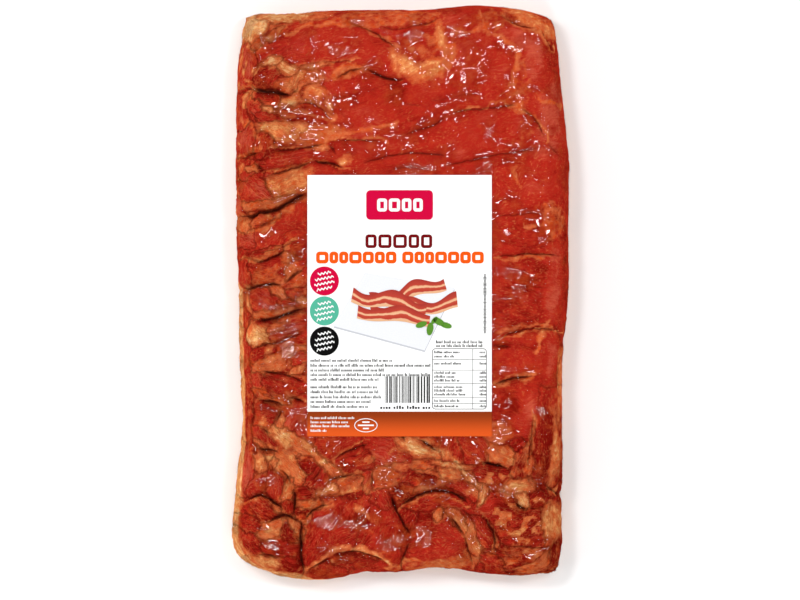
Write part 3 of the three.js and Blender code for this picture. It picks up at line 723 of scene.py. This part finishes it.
# %% A socket that can be added and multiplied
class Wire:
    def __init__(self, paint, socket):
        self.paint, self.socket = paint, socket

    def math(self, operation, *values, clamp=False):
        settings = {"operation": operation, "use_clamp": clamp}
        return self.paint.node("ShaderNodeMath", settings, dict(enumerate(values)))

    def __add__(self, other): return self.math("ADD", self, other)
    def __sub__(self, other): return self.math("SUBTRACT", self, other)
    def __mul__(self, other): return self.math("MULTIPLY", self, other)
    def __truediv__(self, other): return self.math("DIVIDE", self, other)
    def __rsub__(self, other): return self.math("SUBTRACT", other, self)

    def clip(self): return self.math("ADD", self, 0.0, clamp=True)
    def size(self): return self.math("ABSOLUTE", self)

    def step(self, start, end):
        """0 below start, 1 above end, smooth between."""
        return self.paint.node("ShaderNodeMapRange", {"interpolation_type": "SMOOTHSTEP"},
                               {"Value": self, "From Min": start, "From Max": end})


class Paint:
    """A material and its nodes."""

    def __init__(self, name):
        self.material = bpy.data.materials.new(name)
        self.material.use_nodes = True
        self.tree = self.material.node_tree
        self.tree.nodes.clear()

    def node(self, kind, settings=None, values=None, output=0):
        made = self.tree.nodes.new(kind)
        for key, setting in (settings or {}).items():
            if key == "stops":
                for _ in range(len(setting) - 2):
                    made.color_ramp.elements.new(0.5)
                for element, (place, colour) in zip(made.color_ramp.elements, setting):
                    element.position, element.color = place, (*colour, 1)
            else:
                setattr(made, key, setting)
        for key, value in (values or {}).items():
            socket = made.inputs[key]
            if isinstance(value, Wire):
                self.tree.links.new(value.socket, socket)
            elif isinstance(value, tuple) and len(value) == 3 and socket.type == "RGBA":
                socket.default_value = (*value, 1)
            else:
                socket.default_value = value
        return Wire(self, made.outputs[output])

    def attribute(self, name, output="Fac"):
        return self.node("ShaderNodeAttribute", {"attribute_name": name}, output=output)

    def place(self):
        return self.node("ShaderNodeTexCoord", output="Object")

    def noise(self, place, scale, detail=3.0, rough=0.55):
        """Noise around 0, from about -0.5 to 0.5."""
        return self.node("ShaderNodeTexNoise", {}, {"Vector": place, "Scale": scale, "Detail": detail,
                                                    "Roughness": rough}) - 0.5

    def stretch(self, vector, scale):
        return self.node("ShaderNodeVectorMath", {"operation": "MULTIPLY"}, {0: vector, 1: scale})

    def blend(self, share, a, b, how="MIX"):
        settings = {"data_type": "RGBA", "blend_type": how}
        return self.node("ShaderNodeMix", settings, {0: share, 6: a, 7: b}, 2)

    def bump(self, height, distance):
        return self.node("ShaderNodeBump", {}, {"Height": height, "Distance": distance})

    def surface(self, values):
        return self.node("ShaderNodeBsdfPrincipled", {}, values)

    def finish(self, shader):
        end = self.tree.nodes.new("ShaderNodeOutputMaterial")
        self.tree.links.new(shader.socket, end.inputs["Surface"])
        return self.material


# %% [markdown]
# Smoked meat.
#
# Lean shows deep red, streaked along its fibres, and browner where smoke settled. Fat is tan
# to orange, with lobules. The edge between them is ragged, so noise is added to the distance
# that each point keeps before it is cut to a mask. Creases are painted nearly black, and the
# folds and creases darker round them, as painted shade. All the wet shine comes from the film,
# so the meat has none of its own.

# %% Material of the meat
LEAN_DARK = (0.22, 0.006, 0.003)
LEAN_RED = (0.43, 0.020, 0.010)
# Pale salmon lean: partly the meat's own tone, partly a painted film sheen where the film lies off the
# meat.
LEAN_PALE_AND_FILM_SHEEN = (0.58, 0.090, 0.048)
LEAN_ORANGE = (0.62, 0.080, 0.016)
FAT_ORANGE = (0.61, 0.142, 0.048)
FAT_TAN = (0.86, 0.38, 0.120)
FAT_CREAM = (0.95, 0.60, 0.28)
# Painted shade: the near-black colour of the lines along the folds.
CREASE_SHADE = (0.075, 0.008, 0.004)
# Painted shade: the tint that folds and creases are multiplied by.
CAVITY_SHADE_TINT = (0.50, 0.15, 0.09)
MEAT_BUMP = 0.0012


def smoked_meat():
    paint = Paint("smoked_meat")
    place = paint.place()
    fibre_place = paint.attribute("fibre", "Vector")
    streak = paint.noise(paint.stretch(fibre_place, (0.05, 0.55, 0.2)), 1.0, 4)
    strand = paint.noise(paint.stretch(fibre_place, (0.2, 1.6, 0.8)), 1.0, 3)
    blotch = paint.noise(place, 190, 4)
    grain = paint.noise(place, 900, 3)
    smoke = paint.noise(place, 55, 3)
    lobules = paint.node("ShaderNodeTexVoronoi", {"feature": "DISTANCE_TO_EDGE"},
                         {"Vector": paint.stretch(fibre_place, (0.16, 0.22, 0.2)), "Scale": 1.0})
    between = 1 - (lobules + grain * 0.15).step(0.0, 0.3)
    fat_in, pale_in, tone_in, cavity_shade_in, marbled = (
        paint.attribute(name) for name in ("fat", "pale", "tone", "cavity", "marbled"))
    wobble = blotch * 3.4 + grain * 1.4
    fold_depth = paint.attribute("fold_weight")
    # Painted shade: a near-black line along each fold, wider and darker where the fold is deep.
    crack_shade_width = blotch * 1.5 + fold_depth * fold_depth * 0.045 + 0.5
    crack_shade = ((paint.attribute("fold_line") + wobble) / crack_shade_width).size()
    crack_shade = (1 - crack_shade.step(0.0, 1.0)) * (fold_depth * 0.2).clip()

    tone = (tone_in + streak * (marbled * 1.6 + 1.2) + strand * (marbled * 1.4 + 0.9) + blotch
            + grain * 0.5)
    lean = paint.blend(tone.step(-1.1, 0.0), LEAN_DARK, LEAN_RED)
    lean = paint.blend((tone - 0.1).step(0.0, 1.2), lean, LEAN_PALE_AND_FILM_SHEEN)
    smoked = (smoke + blotch * 0.8).step(-0.05, 0.3) * (marbled * 0.4 + 0.35) * (1 - tone_in.step(0.3, 0.8))
    lean = paint.blend(smoked.clip(), lean, LEAN_ORANGE)
    speck = paint.noise(paint.stretch(fibre_place, (0.45, 1.25, 1.0)), 1.0, 2).step(0.06, 0.18)
    speckled = paint.noise(place, 45, 1).step(-0.14, 0.08) * 0.4 + 0.1
    lean = paint.blend((speck * speckled).clip(), lean, FAT_ORANGE)
    vein = 1 - (paint.noise(place, 120, 2).size() + grain.size() * 0.06).step(0.0, 0.03)
    lean = paint.blend((vein * (blotch + 0.35) * (marbled * 0.9 + 0.3)).clip(), lean, FAT_ORANGE)

    fatness = fat_in + blotch * 3.2 + grain * 1.6 + strand * 1.5
    pale_here = pale_in + blotch * 1.4 + grain * 0.8 + streak * 1.3 + strand * 1.1
    core = (fatness.step(0.2, 2.4) * pale_here.step(0.05, 0.65)).clip()
    fat = paint.blend(core, FAT_ORANGE, FAT_TAN)
    fat = paint.blend((fatness.step(0.5, 2.4) * pale_here.step(0.6, 1.2)).clip(), fat, FAT_CREAM)
    blush = (paint.noise(place, 240, 3) + strand * 0.5).step(0.0, 0.14) * (1.15 - pale_in)
    fat = paint.blend(blush.clip(), fat, LEAN_ORANGE)
    fat = paint.blend(between * 0.35, fat, LEAN_ORANGE)

    colour = paint.blend(fatness.step(-1.5, 0.7), lean, fat)
    # Painted shade: the colour is made darker in the folds and creases.
    dark = paint.blend((cavity_shade_in * 0.8).clip(), (1, 1, 1), CAVITY_SHADE_TINT)
    colour = paint.blend(1.0, colour, dark, "MULTIPLY")
    colour = paint.blend(crack_shade, colour, CREASE_SHADE)
    relief = (strand * (marbled * 1.2 + 0.8) + streak * marbled * 1.5 + grain * 0.5 + blotch * 0.8
              - crack_shade * 0.8 - between * fatness.step(0, 2) * 0.4)
    return paint.finish(paint.surface({
        "Base Color": colour, "Roughness": 0.5, "Specular IOR Level": 0.0,
        "Normal": paint.bump(relief, MEAT_BUMP)}))


meat.data.materials.clear()
meat.data.materials.append(smoked_meat())

# %% [markdown]
# Clear film.
#
# The film is a thin clear sheet, so light goes straight through it, and only its shine
# shows. Glass would bend the light and darken the meat. A mix of a transparent shader and a
# glossy one, by how steeply the film is seen, is what thin film does, and a cap keeps its
# edges from turning white. Its shine breaks into many small spots, because it is pulled into
# fine crinkles along the fibres. The spots come in clusters: noise says where the film
# shines, and between those places it hardly shines.

# %% Material of the film
FILM_IOR = 1.85
FILM_CAP = 0.16
FILM_BUMP = 0.0010
QUIET_SHINE = 0.02


def clear_film():
    paint = Paint("clear_film")
    fibre_place = paint.attribute("fibre", "Vector")
    clinging = paint.attribute("clinging")
    dashes = paint.noise(paint.stretch(fibre_place, (0.07, 0.26, 0.2)), 1.0, 0)
    dimple = paint.noise(paint.stretch(fibre_place, (0.15, 0.40, 0.4)), 1.0, 0)
    busy = (paint.noise(paint.place(), 55, 1) - clinging * 0.07).step(-0.04, 0.08)
    normal = paint.bump(dashes * 0.9 + dimple * 1.2, FILM_BUMP)
    share = paint.node("ShaderNodeFresnel", {}, {"IOR": FILM_IOR})
    share = share.math("MINIMUM", share, FILM_CAP) * (busy * (1 - QUIET_SHINE) + QUIET_SHINE)
    gloss = paint.surface({"Base Color": (1, 1, 1, 1), "Roughness": 0.05, "Metallic": 1.0,
                           "Normal": normal})
    clear = paint.node("ShaderNodeBsdfTransparent")
    return paint.finish(paint.node("ShaderNodeMixShader", {}, {0: share, 1: clear, 2: gloss}))


film.data.materials.clear()
film.data.materials.append(clear_film())

# %% [markdown]
# The label.
#
# The label is smooth coated paper, and its own solid already has the right form, so it only
# gets a paper finish. Its print could be one image laid over it. Here it is a set of thin ink
# shapes that lie on the paper, one piece for each ink, as a press prints one plate for each.
# Words and marks are plain blocks and strokes. Each block is added flat in edit mode, and at
# the end the whole piece is lifted to the curve of the pack.

# %% Paper and inks
def paper():
    paint = Paint("label_paper")
    place = paint.place()
    fibres = paint.noise(place, 700, 3)
    cloud = paint.noise(place, 40, 2)
    tint = paint.blend((cloud + 0.5).clip(), (0.93, 0.93, 0.92), (0.97, 0.97, 0.965))
    return paint.finish(paint.surface({
        "Base Color": tint, "Roughness": 0.38, "Specular IOR Level": 0.25,
        "Normal": paint.bump(fibres + cloud * 2.0, 0.0001)}))


def printed(paint, tint, speck, rough=0.35):
    """The finish that all inks share: nearly matt, and a little uneven."""
    return paint.finish(paint.surface({
        "Base Color": tint, "Roughness": rough, "Specular IOR Level": 0.03,
        "Normal": paint.bump(speck, 0.00005)}))


def ink(name, colour, rough=0.35):
    """A printed ink of one colour, darker in specks."""
    paint = Paint(name)
    speck = paint.noise(paint.place(), 1500, 2)
    darker = tuple(0.9 * c for c in colour)
    return printed(paint, paint.blend((speck * 1.5 + 0.5).clip(), darker, colour), speck, rough)


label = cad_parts["label"]
label.data.materials.clear()
label.data.materials.append(paper())

# %% Helpers for printing
INK_LAYER = 0.06
prints = []


def start_print(name):
    """An empty mesh, open in edit mode, for one ink."""
    bpy.ops.object.select_all(action="DESELECT")
    piece = bpy.data.objects.new(name, bpy.data.meshes.new(name))
    bpy.context.scene.collection.objects.link(piece)
    bpy.context.view_layer.objects.active = piece
    piece.select_set(True)
    bpy.ops.object.mode_set(mode="EDIT")
    bpy.ops.mesh.select_mode(type="VERT")


def set_down(x, y, wide, high, turn=0.0):
    """Sizes, turns and moves what was just added at the middle. Forms are added unscaled."""
    middle = (0, 0, 0)
    bpy.ops.transform.resize(value=(wide, high, 1), center_override=middle)
    if turn:
        bpy.ops.transform.rotate(value=-math.radians(turn), orient_axis="Z", center_override=middle)
    bpy.ops.transform.translate(value=(x * MM, y * MM, 0))


def block(x, y, width, height, corner=0.0):
    """A flat block, x and y from the label's middle in mm, with round corners if asked."""
    bpy.ops.mesh.select_all(action="DESELECT")
    bpy.ops.mesh.primitive_plane_add(size=1)
    set_down(x, y, width * MM, height * MM)
    if corner:
        bpy.ops.mesh.bevel(offset=corner * MM, segments=6, affect="VERTICES")


def disc(x, y, radius, squash=1.0, turn=0.0):
    """A flat disc, or an ellipse if squashed."""
    bpy.ops.mesh.select_all(action="DESELECT")
    bpy.ops.mesh.primitive_circle_add(vertices=48, radius=radius * MM, fill_type="NGON")
    set_down(x, y, 1, squash, turn)


def ring_line(x, y, radius, squash, width):
    """A thin elliptical line."""
    disc(x, y, radius, squash)
    bpy.ops.mesh.inset(thickness=width * MM)
    bpy.ops.mesh.delete(type="FACE")


def frame_line(x, y, width, height, line, corner):
    """A thin rectangular outline with round corners."""
    block(x, y, width, height, corner)
    bpy.ops.mesh.inset(thickness=line * MM)
    bpy.ops.mesh.delete(type="FACE")


def shaped_grid(columns, rows, place):
    """Adds a grid whose points go where place puts them, in mm. Gives where they were, in shares
    of the grid from -0.5 to 0.5."""
    bpy.ops.mesh.select_all(action="DESELECT")
    bpy.ops.mesh.primitive_grid_add(x_subdivisions=columns, y_subdivisions=rows, size=1)
    mesh = bpy.context.edit_object.data
    bpy.ops.object.mode_set(mode="OBJECT")
    added = [vertex for vertex in mesh.vertices if vertex.select]
    shares = [tuple(vertex.co[:2]) for vertex in added]
    for vertex, share in zip(added, shares):
        x, y = place(*share)
        vertex.co = (x * MM, y * MM, 0)
    bpy.ops.object.mode_set(mode="EDIT")
    return np.array(shares)


def tilted(x, y, t, w, turn):
    """Where a point lies that is t along and w across something turned by that many degrees."""
    c, s = math.cos(math.radians(turn)), math.sin(math.radians(turn))
    return x + t * c - w * s, y + t * s + w * c


def finish_print(layer, material):
    """Lays the open ink on the paper, follows its crown, and gives it its finish."""
    bpy.ops.object.mode_set(mode="OBJECT")
    piece = bpy.context.active_object
    places = read_points(piece.data, "co") / MM
    x, y = places[:, 0] + LABEL_X, places[:, 1] + LABEL_Y
    z = crown(x, y) + LABEL_LIFT + LABEL_THICKNESS + INK_LAYER * layer
    place_points(piece.data, np.column_stack([x, y, z]))
    piece.data.materials.append(material)
    prints.append(piece)
    print(piece.name, len(piece.data.polygons), "faces")
    return piece


# %% [markdown]
# Fields of colour.
#
# The sign at the top is a plain crimson block with round corners. Three round badges lie
# down the left side, and a band with a brown to orange fade runs along the foot. Large
# fields are cut into smaller faces, so that they can follow the curve of the pack.

# %% Sign, badges and band
CRIMSON = (0.60, 0.002, 0.045)
TEAL = (0.085, 0.44, 0.30)
BLACK = (0.004, 0.004, 0.004)
MAROON = (0.16, 0.004, 0.006)
ORANGE = (0.83, 0.095, 0.005)
WHITE = (0.9, 0.9, 0.9)
LEAF = (0.10, 0.26, 0.03)
BAND_TOP = (0.25, 0.035, 0.006)
BAND_FOOT = (0.68, 0.09, 0.013)
SMALL_PRINT = (0.01, 0.01, 0.01)
BADGE_X = -51.8
BADGE_Y = (17, -3.6, -24.4)
BADGE_RADIUS = 10
BAND_Y, BAND_HEIGHT = -81.5, 17.1
SIGN_Y, SIGN_WIDTH, SIGN_HEIGHT = 69.4, 46, 20.4

start_print("print_crimson")
block(0, SIGN_Y, SIGN_WIDTH, SIGN_HEIGHT, 3)
bpy.ops.mesh.select_all(action="SELECT")
bpy.ops.mesh.subdivide(number_cuts=3)
disc(BADGE_X, BADGE_Y[0], BADGE_RADIUS)
finish_print(2, ink("ink_crimson", CRIMSON))

start_print("print_teal")
disc(BADGE_X, BADGE_Y[1], BADGE_RADIUS)
finish_print(2, ink("ink_teal", TEAL))

start_print("print_black_badge")
disc(BADGE_X, BADGE_Y[2], BADGE_RADIUS)
finish_print(2, ink("ink_black", BLACK))


def fading_ink():
    """The band's ink fades from brown to orange down its height."""
    paint = Paint("ink_band")
    height = paint.node("ShaderNodeSeparateXYZ", {}, {0: paint.place()}, 1)
    top, foot = ((LABEL_Y + BAND_Y + side * BAND_HEIGHT / 2) * MM for side in (1, -1))
    tint = paint.blend(height.step(foot, top), BAND_FOOT, BAND_TOP)
    return printed(paint, tint, paint.noise(paint.place(), 1500, 2))


start_print("print_band")
block(0, BAND_Y, LABEL_WIDTH + 0.1, BAND_HEIGHT)
bpy.ops.mesh.subdivide(number_cuts=7)
finish_print(1, fading_ink())

# %% [markdown]
# Blocks for the words.
#
# Blocks keep the weight and rhythm of the lines of print. The two headings are rows of tall
# outlined blocks with round corners. The small print is upright strokes as narrow as letters,
# in groups as long as words, whose lengths come from seeded draws.

# %% Headings and small print
LETTER_PITCH = 0.95
WORD_GAP = 0.8
LOW_LETTER = 0.65
words = np.random.default_rng(11)


def heading(left, right, y, height, groups, gap, group_gap, corner, line):
    """One line of tall outlined blocks between left and right, in groups of so many blocks."""
    count = sum(groups)
    room = right - left - group_gap * (len(groups) - 1) - gap * (count - len(groups))
    shares = words.uniform(0.8, 1.2, count)
    widths = room * shares / shares.sum()
    x = left
    for size in groups:
        for width in widths[:size]:
            frame_line(x + width / 2, y, width, height, line, corner)
            x += width + gap
        widths = widths[size:]
        x += group_gap - gap


def small_print(left, right, y, height, pitch=LETTER_PITCH):
    """One row of small print from left to right."""
    x = left
    while x < right - pitch:
        for _ in range(words.integers(2, 9)):
            if x < right:
                rise = height * words.choice([LOW_LETTER, LOW_LETTER, LOW_LETTER, 1.0])
                block(x + pitch / 2, y + (rise - height) / 2, pitch * words.uniform(0.5, 0.75), rise)
            x += pitch
        x += WORD_GAP * pitch


start_print("print_maroon")
heading(-23.5, 22.5, 44.4, 9.4, [5], 1.2, 0, 2.2, 2.1)
finish_print(1, ink("ink_maroon", MAROON))

start_print("print_orange")
heading(-57.5, 58, 33.2, 8.2, [7, 7], 0.7, 4, 2.4, 2.5)
finish_print(1, ink("ink_orange", ORANGE))

# %% [markdown]
# Table, bars and lines.
#
# Ten rows of small print fill the lower left. The right side has a small table in a frame
# with round corners, and beside it lies a barcode, here a row of bars of seeded widths with
# no meaning. All of it is one ink, so it is one piece.

# %% Black ink
start_print("print_black")
for y, right in ((-37.6, -5.6), (-41.0, 20.7), (-44.3, -11.1), (-47.5, 20.7), (-50.7, -14.4),
                 (-55.9, -16), (-59.3, -15.4), (-62.8, -13.6), (-66, -19.7), (-69.4, -22.2)):
    small_print(-61.5, right, y, 2.1)
small_print(-13.6, 20.5, -70, 2.2, 1.9)

BARCODE_LEFT, BARCODE_RIGHT, BARCODE_Y, BARCODE_HEIGHT = -10.1, 21.2, -57.8, 18.3
THIN_BAR = 0.33
x = BARCODE_LEFT
while x < BARCODE_RIGHT:
    bar = words.integers(1, 4) * THIN_BAR
    block(x + bar / 2, BARCODE_Y, bar, BARCODE_HEIGHT)
    x += bar + words.integers(1, 4) * THIN_BAR

TABLE_X, TABLE_Y, TABLE_WIDTH, TABLE_HEIGHT = 41.2, -50.4, 37.6, 42
TABLE_COLUMN, TABLE_LINE = 50.4, 0.3
frame_line(TABLE_X, TABLE_Y, TABLE_WIDTH, TABLE_HEIGHT, 0.4, 2.4)
block(TABLE_COLUMN, TABLE_Y, TABLE_LINE, TABLE_HEIGHT)
for y in (-37, -44.4, -53.6, -63.4, -67.4):
    block(TABLE_X, y, TABLE_WIDTH, TABLE_LINE)
for y in (-31.9, -34.8, -39.7, -46.1, -48.8, -51.4, -55.9, -58.4, -61, -65.4, -69.1):
    small_print(23.8, 38 + words.uniform(0, 8), y, 1.7)
    small_print(55, 59.6, y, 1.7)
for y in (-24.9, -27.5):
    small_print(25, 57, y, 2.0)
for y in np.arange(-18.6, 21.6, LETTER_PITCH):
    block(58.8, y, 2.0 * words.choice([LOW_LETTER, 1.0]), 0.62)
finish_print(1, ink("ink_small_print", SMALL_PRINT))

# %% [markdown]
# White on colour.
#
# Each badge carries four wavy strokes, the band carries small print and an oval with three
# bars, and the sign carries four outlined blocks. A stroke starts as a strip cut across into
# short steps, and its points then move up and down.

# %% Wavy strokes, bars and oval
STROKE_STEPS = 24
OVAL_X, OVAL_Y = -23.2, -82.4


def wave(x, y, length, height, width, waves, turn):
    """A wavy stroke, whose height wanders a little."""
    def waved(along_share, across_share):
        t, w = along_share * length, across_share * width
        w += height * math.sin(2 * math.pi * waves * t / length) * (0.75 + 0.25 * math.sin(t))
        return tilted(x, y, t, w, turn)
    shaped_grid(STROKE_STEPS, 1, waved)


start_print("print_white")
for badge_y in BADGE_Y:
    for row_y, length in ((5.4, 9), (1.9, 13), (-1.6, 14), (-5.2, 11)):
        wave(BADGE_X, badge_y + row_y, length, 0.8, 1.15, length / 2.4, 12)
for y, right in ((-77.2, -31.7), (-80.1, -36.4), (-82.8, -34.5), (-86, -51.1)):
    small_print(-61.5, right, y, 1.7)
ring_line(OVAL_X, OVAL_Y, 8, 0.6, 0.5)
for rise, width in ((2.2, 5), (0, 11), (-2.2, 4)):
    block(OVAL_X, OVAL_Y + rise, width, 1)
heading(-15.5, 16, SIGN_Y, 9, [4], 1.2, 0, 2, 2.2)
finish_print(3, ink("ink_white", WHITE))

# %% [markdown]
# The picture of the food.
#
# Four wavy rashers lie on a pale sheet that is seen at a slant, with a few leaves at its
# edge. A rasher could be an outline filled with stripes. Here it is a long grid whose points
# are moved into waves, and it keeps how far across and along each point was, so that its ink
# can run lean and fat stripes down it. Overlapping pieces lie on layers of their own.

# %% Sheet, rashers and leaves
SHEET_CORNERS = ((-45.5, -14), (17.3, -30.8), (-24, 22.8), (38.2, 12.3))
SHEET_STEPS = 12
SHEET_THICKNESS = 1.2
RASHER_STEPS, RASHER_BANDS = 60, 12
# x, y, length, width, height of its waves, how many, turn in degrees, and where they start
RASHERS = ((6, 9, 52, 11, 2.2, 1.6, 16, 0.4), (10, -1, 60, 11, 2.4, 1.8, 6, 2.2),
           (-7, 3, 52, 12, 2.4, 1.4, -10, 1.2), (-4, -6.5, 50, 11, 1.8, 1.2, -6, 0.8))


def slanted_sheet(drop):
    """A grid drawn out to the sheet's four corners, and let down by drop."""
    a, b, c, d = (np.array(corner) for corner in SHEET_CORNERS)

    def drawn_out(x_share, y_share):
        across, up = x_share + 0.5, y_share + 0.5
        x, y = mix(mix(a, b, across), mix(c, d, across), up)
        return x, y - drop
    shaped_grid(SHEET_STEPS, SHEET_STEPS, drawn_out)


for name, drop, layer, colour in (
        ("sheet_edge", SHEET_THICKNESS, 1, (0.55, 0.56, 0.60)), ("sheet", 0, 1.5, (0.80, 0.81, 0.85))):
    start_print("print_" + name)
    slanted_sheet(drop)
    finish_print(layer, ink("ink_" + name, colour, 0.4))


def rasher(x, y, length, width, height, waves, turn, phase):
    """A wavy rasher. Gives how far along and across its points were."""
    def waved(along_share, across_share):
        t, w = along_share * length, across_share * width
        swing = math.sin(2 * math.pi * waves * t / length + phase)
        return tilted(x, y, t, w * (0.85 + 0.15 * swing) + height * swing, turn)
    return shaped_grid(RASHER_STEPS, RASHER_BANDS, waved)


def rasher_ink():
    """Red lean and cream fat in long stripes that wander."""
    paint = Paint("ink_rasher")
    share, lengthwise = paint.attribute("across"), paint.attribute("lengthwise")
    ripple = paint.node("ShaderNodeMath", {"operation": "SINE"}, {0: lengthwise * 0.35})
    place = share + ripple * 0.05 + paint.noise(paint.place(), 260, 2) * 0.18
    stripes = paint.node("ShaderNodeValToRGB", {"stops": [
        (0.0, (0.72, 0.40, 0.22)), (0.14, (0.75, 0.42, 0.24)),
        (0.2, (0.42, 0.035, 0.02)), (0.42, (0.50, 0.06, 0.03)),
        (0.48, (0.78, 0.46, 0.27)), (0.58, (0.74, 0.38, 0.2)),
        (0.64, (0.46, 0.045, 0.025)), (1.0, (0.36, 0.03, 0.02))]}, {0: place})
    return paint.finish(paint.surface({
        "Base Color": stripes, "Roughness": 0.35, "Specular IOR Level": 0.2}))


rasher_paint = rasher_ink()
for number, form in enumerate(RASHERS):
    start_print(f"print_rasher_{number + 1}")
    shares = rasher(*form)
    piece = finish_print(2.5 + number, rasher_paint)
    length, phase = form[2], form[7]
    keep_attribute(piece.data, "across", shares[:, 1] + 0.5)
    keep_attribute(piece.data, "lengthwise", shares[:, 0] * length + 31 * phase)

start_print("print_leaves")
for x, y, length, turn in ((15, -13, 8, 20), (21, -16, 9, 80), (27, -11, 9, 150),
                           (32, -13.5, 8, 165), (24, -10, 6, 50)):
    disc(x, y, length / 2, 0.5, turn)
finish_print(7, ink("ink_leaf", LEAF))

# %% [markdown]
# Who carries what.
#
# Nothing on the pack moves, so every piece rides on the one body. Meat and film together
# stand for the pack's solid, and the ink lies on the label.

# %% Ride and replace
for piece in (meat, film):
    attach(piece, "root")
    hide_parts("vacuum_pack")
for piece in prints:
    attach(piece, "root")

# %% [markdown]
# Floor, light and camera.
#
# The pack is seen from straight above on pure white. A long lens a good way off keeps the
# sides from leaning. Film shines only where it mirrors a lamp, so the lamps that light the
# meat evenly are kept out of reflections, and three small bright panels above give the shine
# its small sharp spots. A larger panel would give broad milky patches.

# %% Floor
bpy.ops.object.select_all(action="DESELECT")
bpy.ops.mesh.primitive_plane_add(size=8, location=(0, 0, -0.0005))
floor = bpy.context.active_object
floor.name = "floor"
floor.visible_glossy = False


def pale_floor():
    paint = Paint("pale_floor")
    cloud = paint.noise(paint.place(), 3, 2)
    tint = paint.blend((cloud + 0.5).clip(), (0.94, 0.94, 0.94), (0.96, 0.96, 0.96))
    return paint.finish(paint.surface({"Base Color": tint, "Roughness": 0.7}))


floor.data.materials.append(pale_floor())

# %% Lights
def panel(name, place, aim, width, height, watts, mirrored):
    """A soft light panel. mirrored says whether shiny things show it."""
    bpy.ops.object.light_add(type="AREA", location=place)
    lamp = bpy.context.active_object
    lamp.name = name
    lamp.data.shape = "RECTANGLE"
    lamp.data.size, lamp.data.size_y = width, height
    lamp.data.energy = watts
    away = np.array(place) - np.array(aim)
    sideways = math.hypot(away[0], away[1])
    lamp.rotation_euler = (math.atan2(sideways, away[2]), 0, math.atan2(away[0], -away[1]))
    lamp.visible_glossy = mirrored


panel("even_light", (0, 0, 2.6), (0, 0, 0), 3.0, 3.0, 3, False)
for name, place, watts in (("side_left", (-1.6, 0, 0.6), 21), ("side_right", (1.6, 0, 0.6), 9),
                           ("side_foot", (0, -1.7, 0.6), 15), ("side_head", (0, 1.7, 0.6), 12)):
    panel(name, place, (0, 0, 0.02), 1.8, 0.8, watts, False)
panel("key_left", (-0.75, 0.6, 2.0), (0, 0, 0), 0.52, 0.36, 14, True)
panel("key_right", (0.85, 0.35, 2.0), (0, 0, 0), 0.36, 0.42, 9, True)
panel("key_foot", (0.1, -0.9, 1.9), (0, 0, 0), 0.4, 0.22, 5, True)

world = bpy.data.worlds.new("studio")
bpy.context.scene.world = world
world.use_nodes = True
surround = world.node_tree.nodes["Background"].inputs
surround[0].default_value, surround[1].default_value = (1, 1, 1, 1), 0.2
world.cycles_visibility.glossy = False

# %% Camera
PHOTO_MM_PER_PX = 0.69
PHOTO_WIDTH, PHOTO_HEIGHT = 800, 600
PACK_MIDDLE_ROW = 291.5
LENS, SENSOR = 400, 36
MATCHED_HEIGHT = 0.8 * PACK_HEIGHT
away = LENS / SENSOR * PHOTO_WIDTH * PHOTO_MM_PER_PX * MM
down_the_photo = (PACK_MIDDLE_ROW - PHOTO_HEIGHT / 2) * PHOTO_MM_PER_PX
bpy.ops.object.camera_add(location=(0, down_the_photo * MM, away + MATCHED_HEIGHT * MM), rotation=(0, 0, 0))
camera = bpy.context.active_object
camera.data.lens, camera.data.sensor_width = LENS, SENSOR
bpy.context.scene.camera = camera
bpy.context.scene.view_settings.view_transform = "Standard"
print("camera is", round(away, 2), "m away")
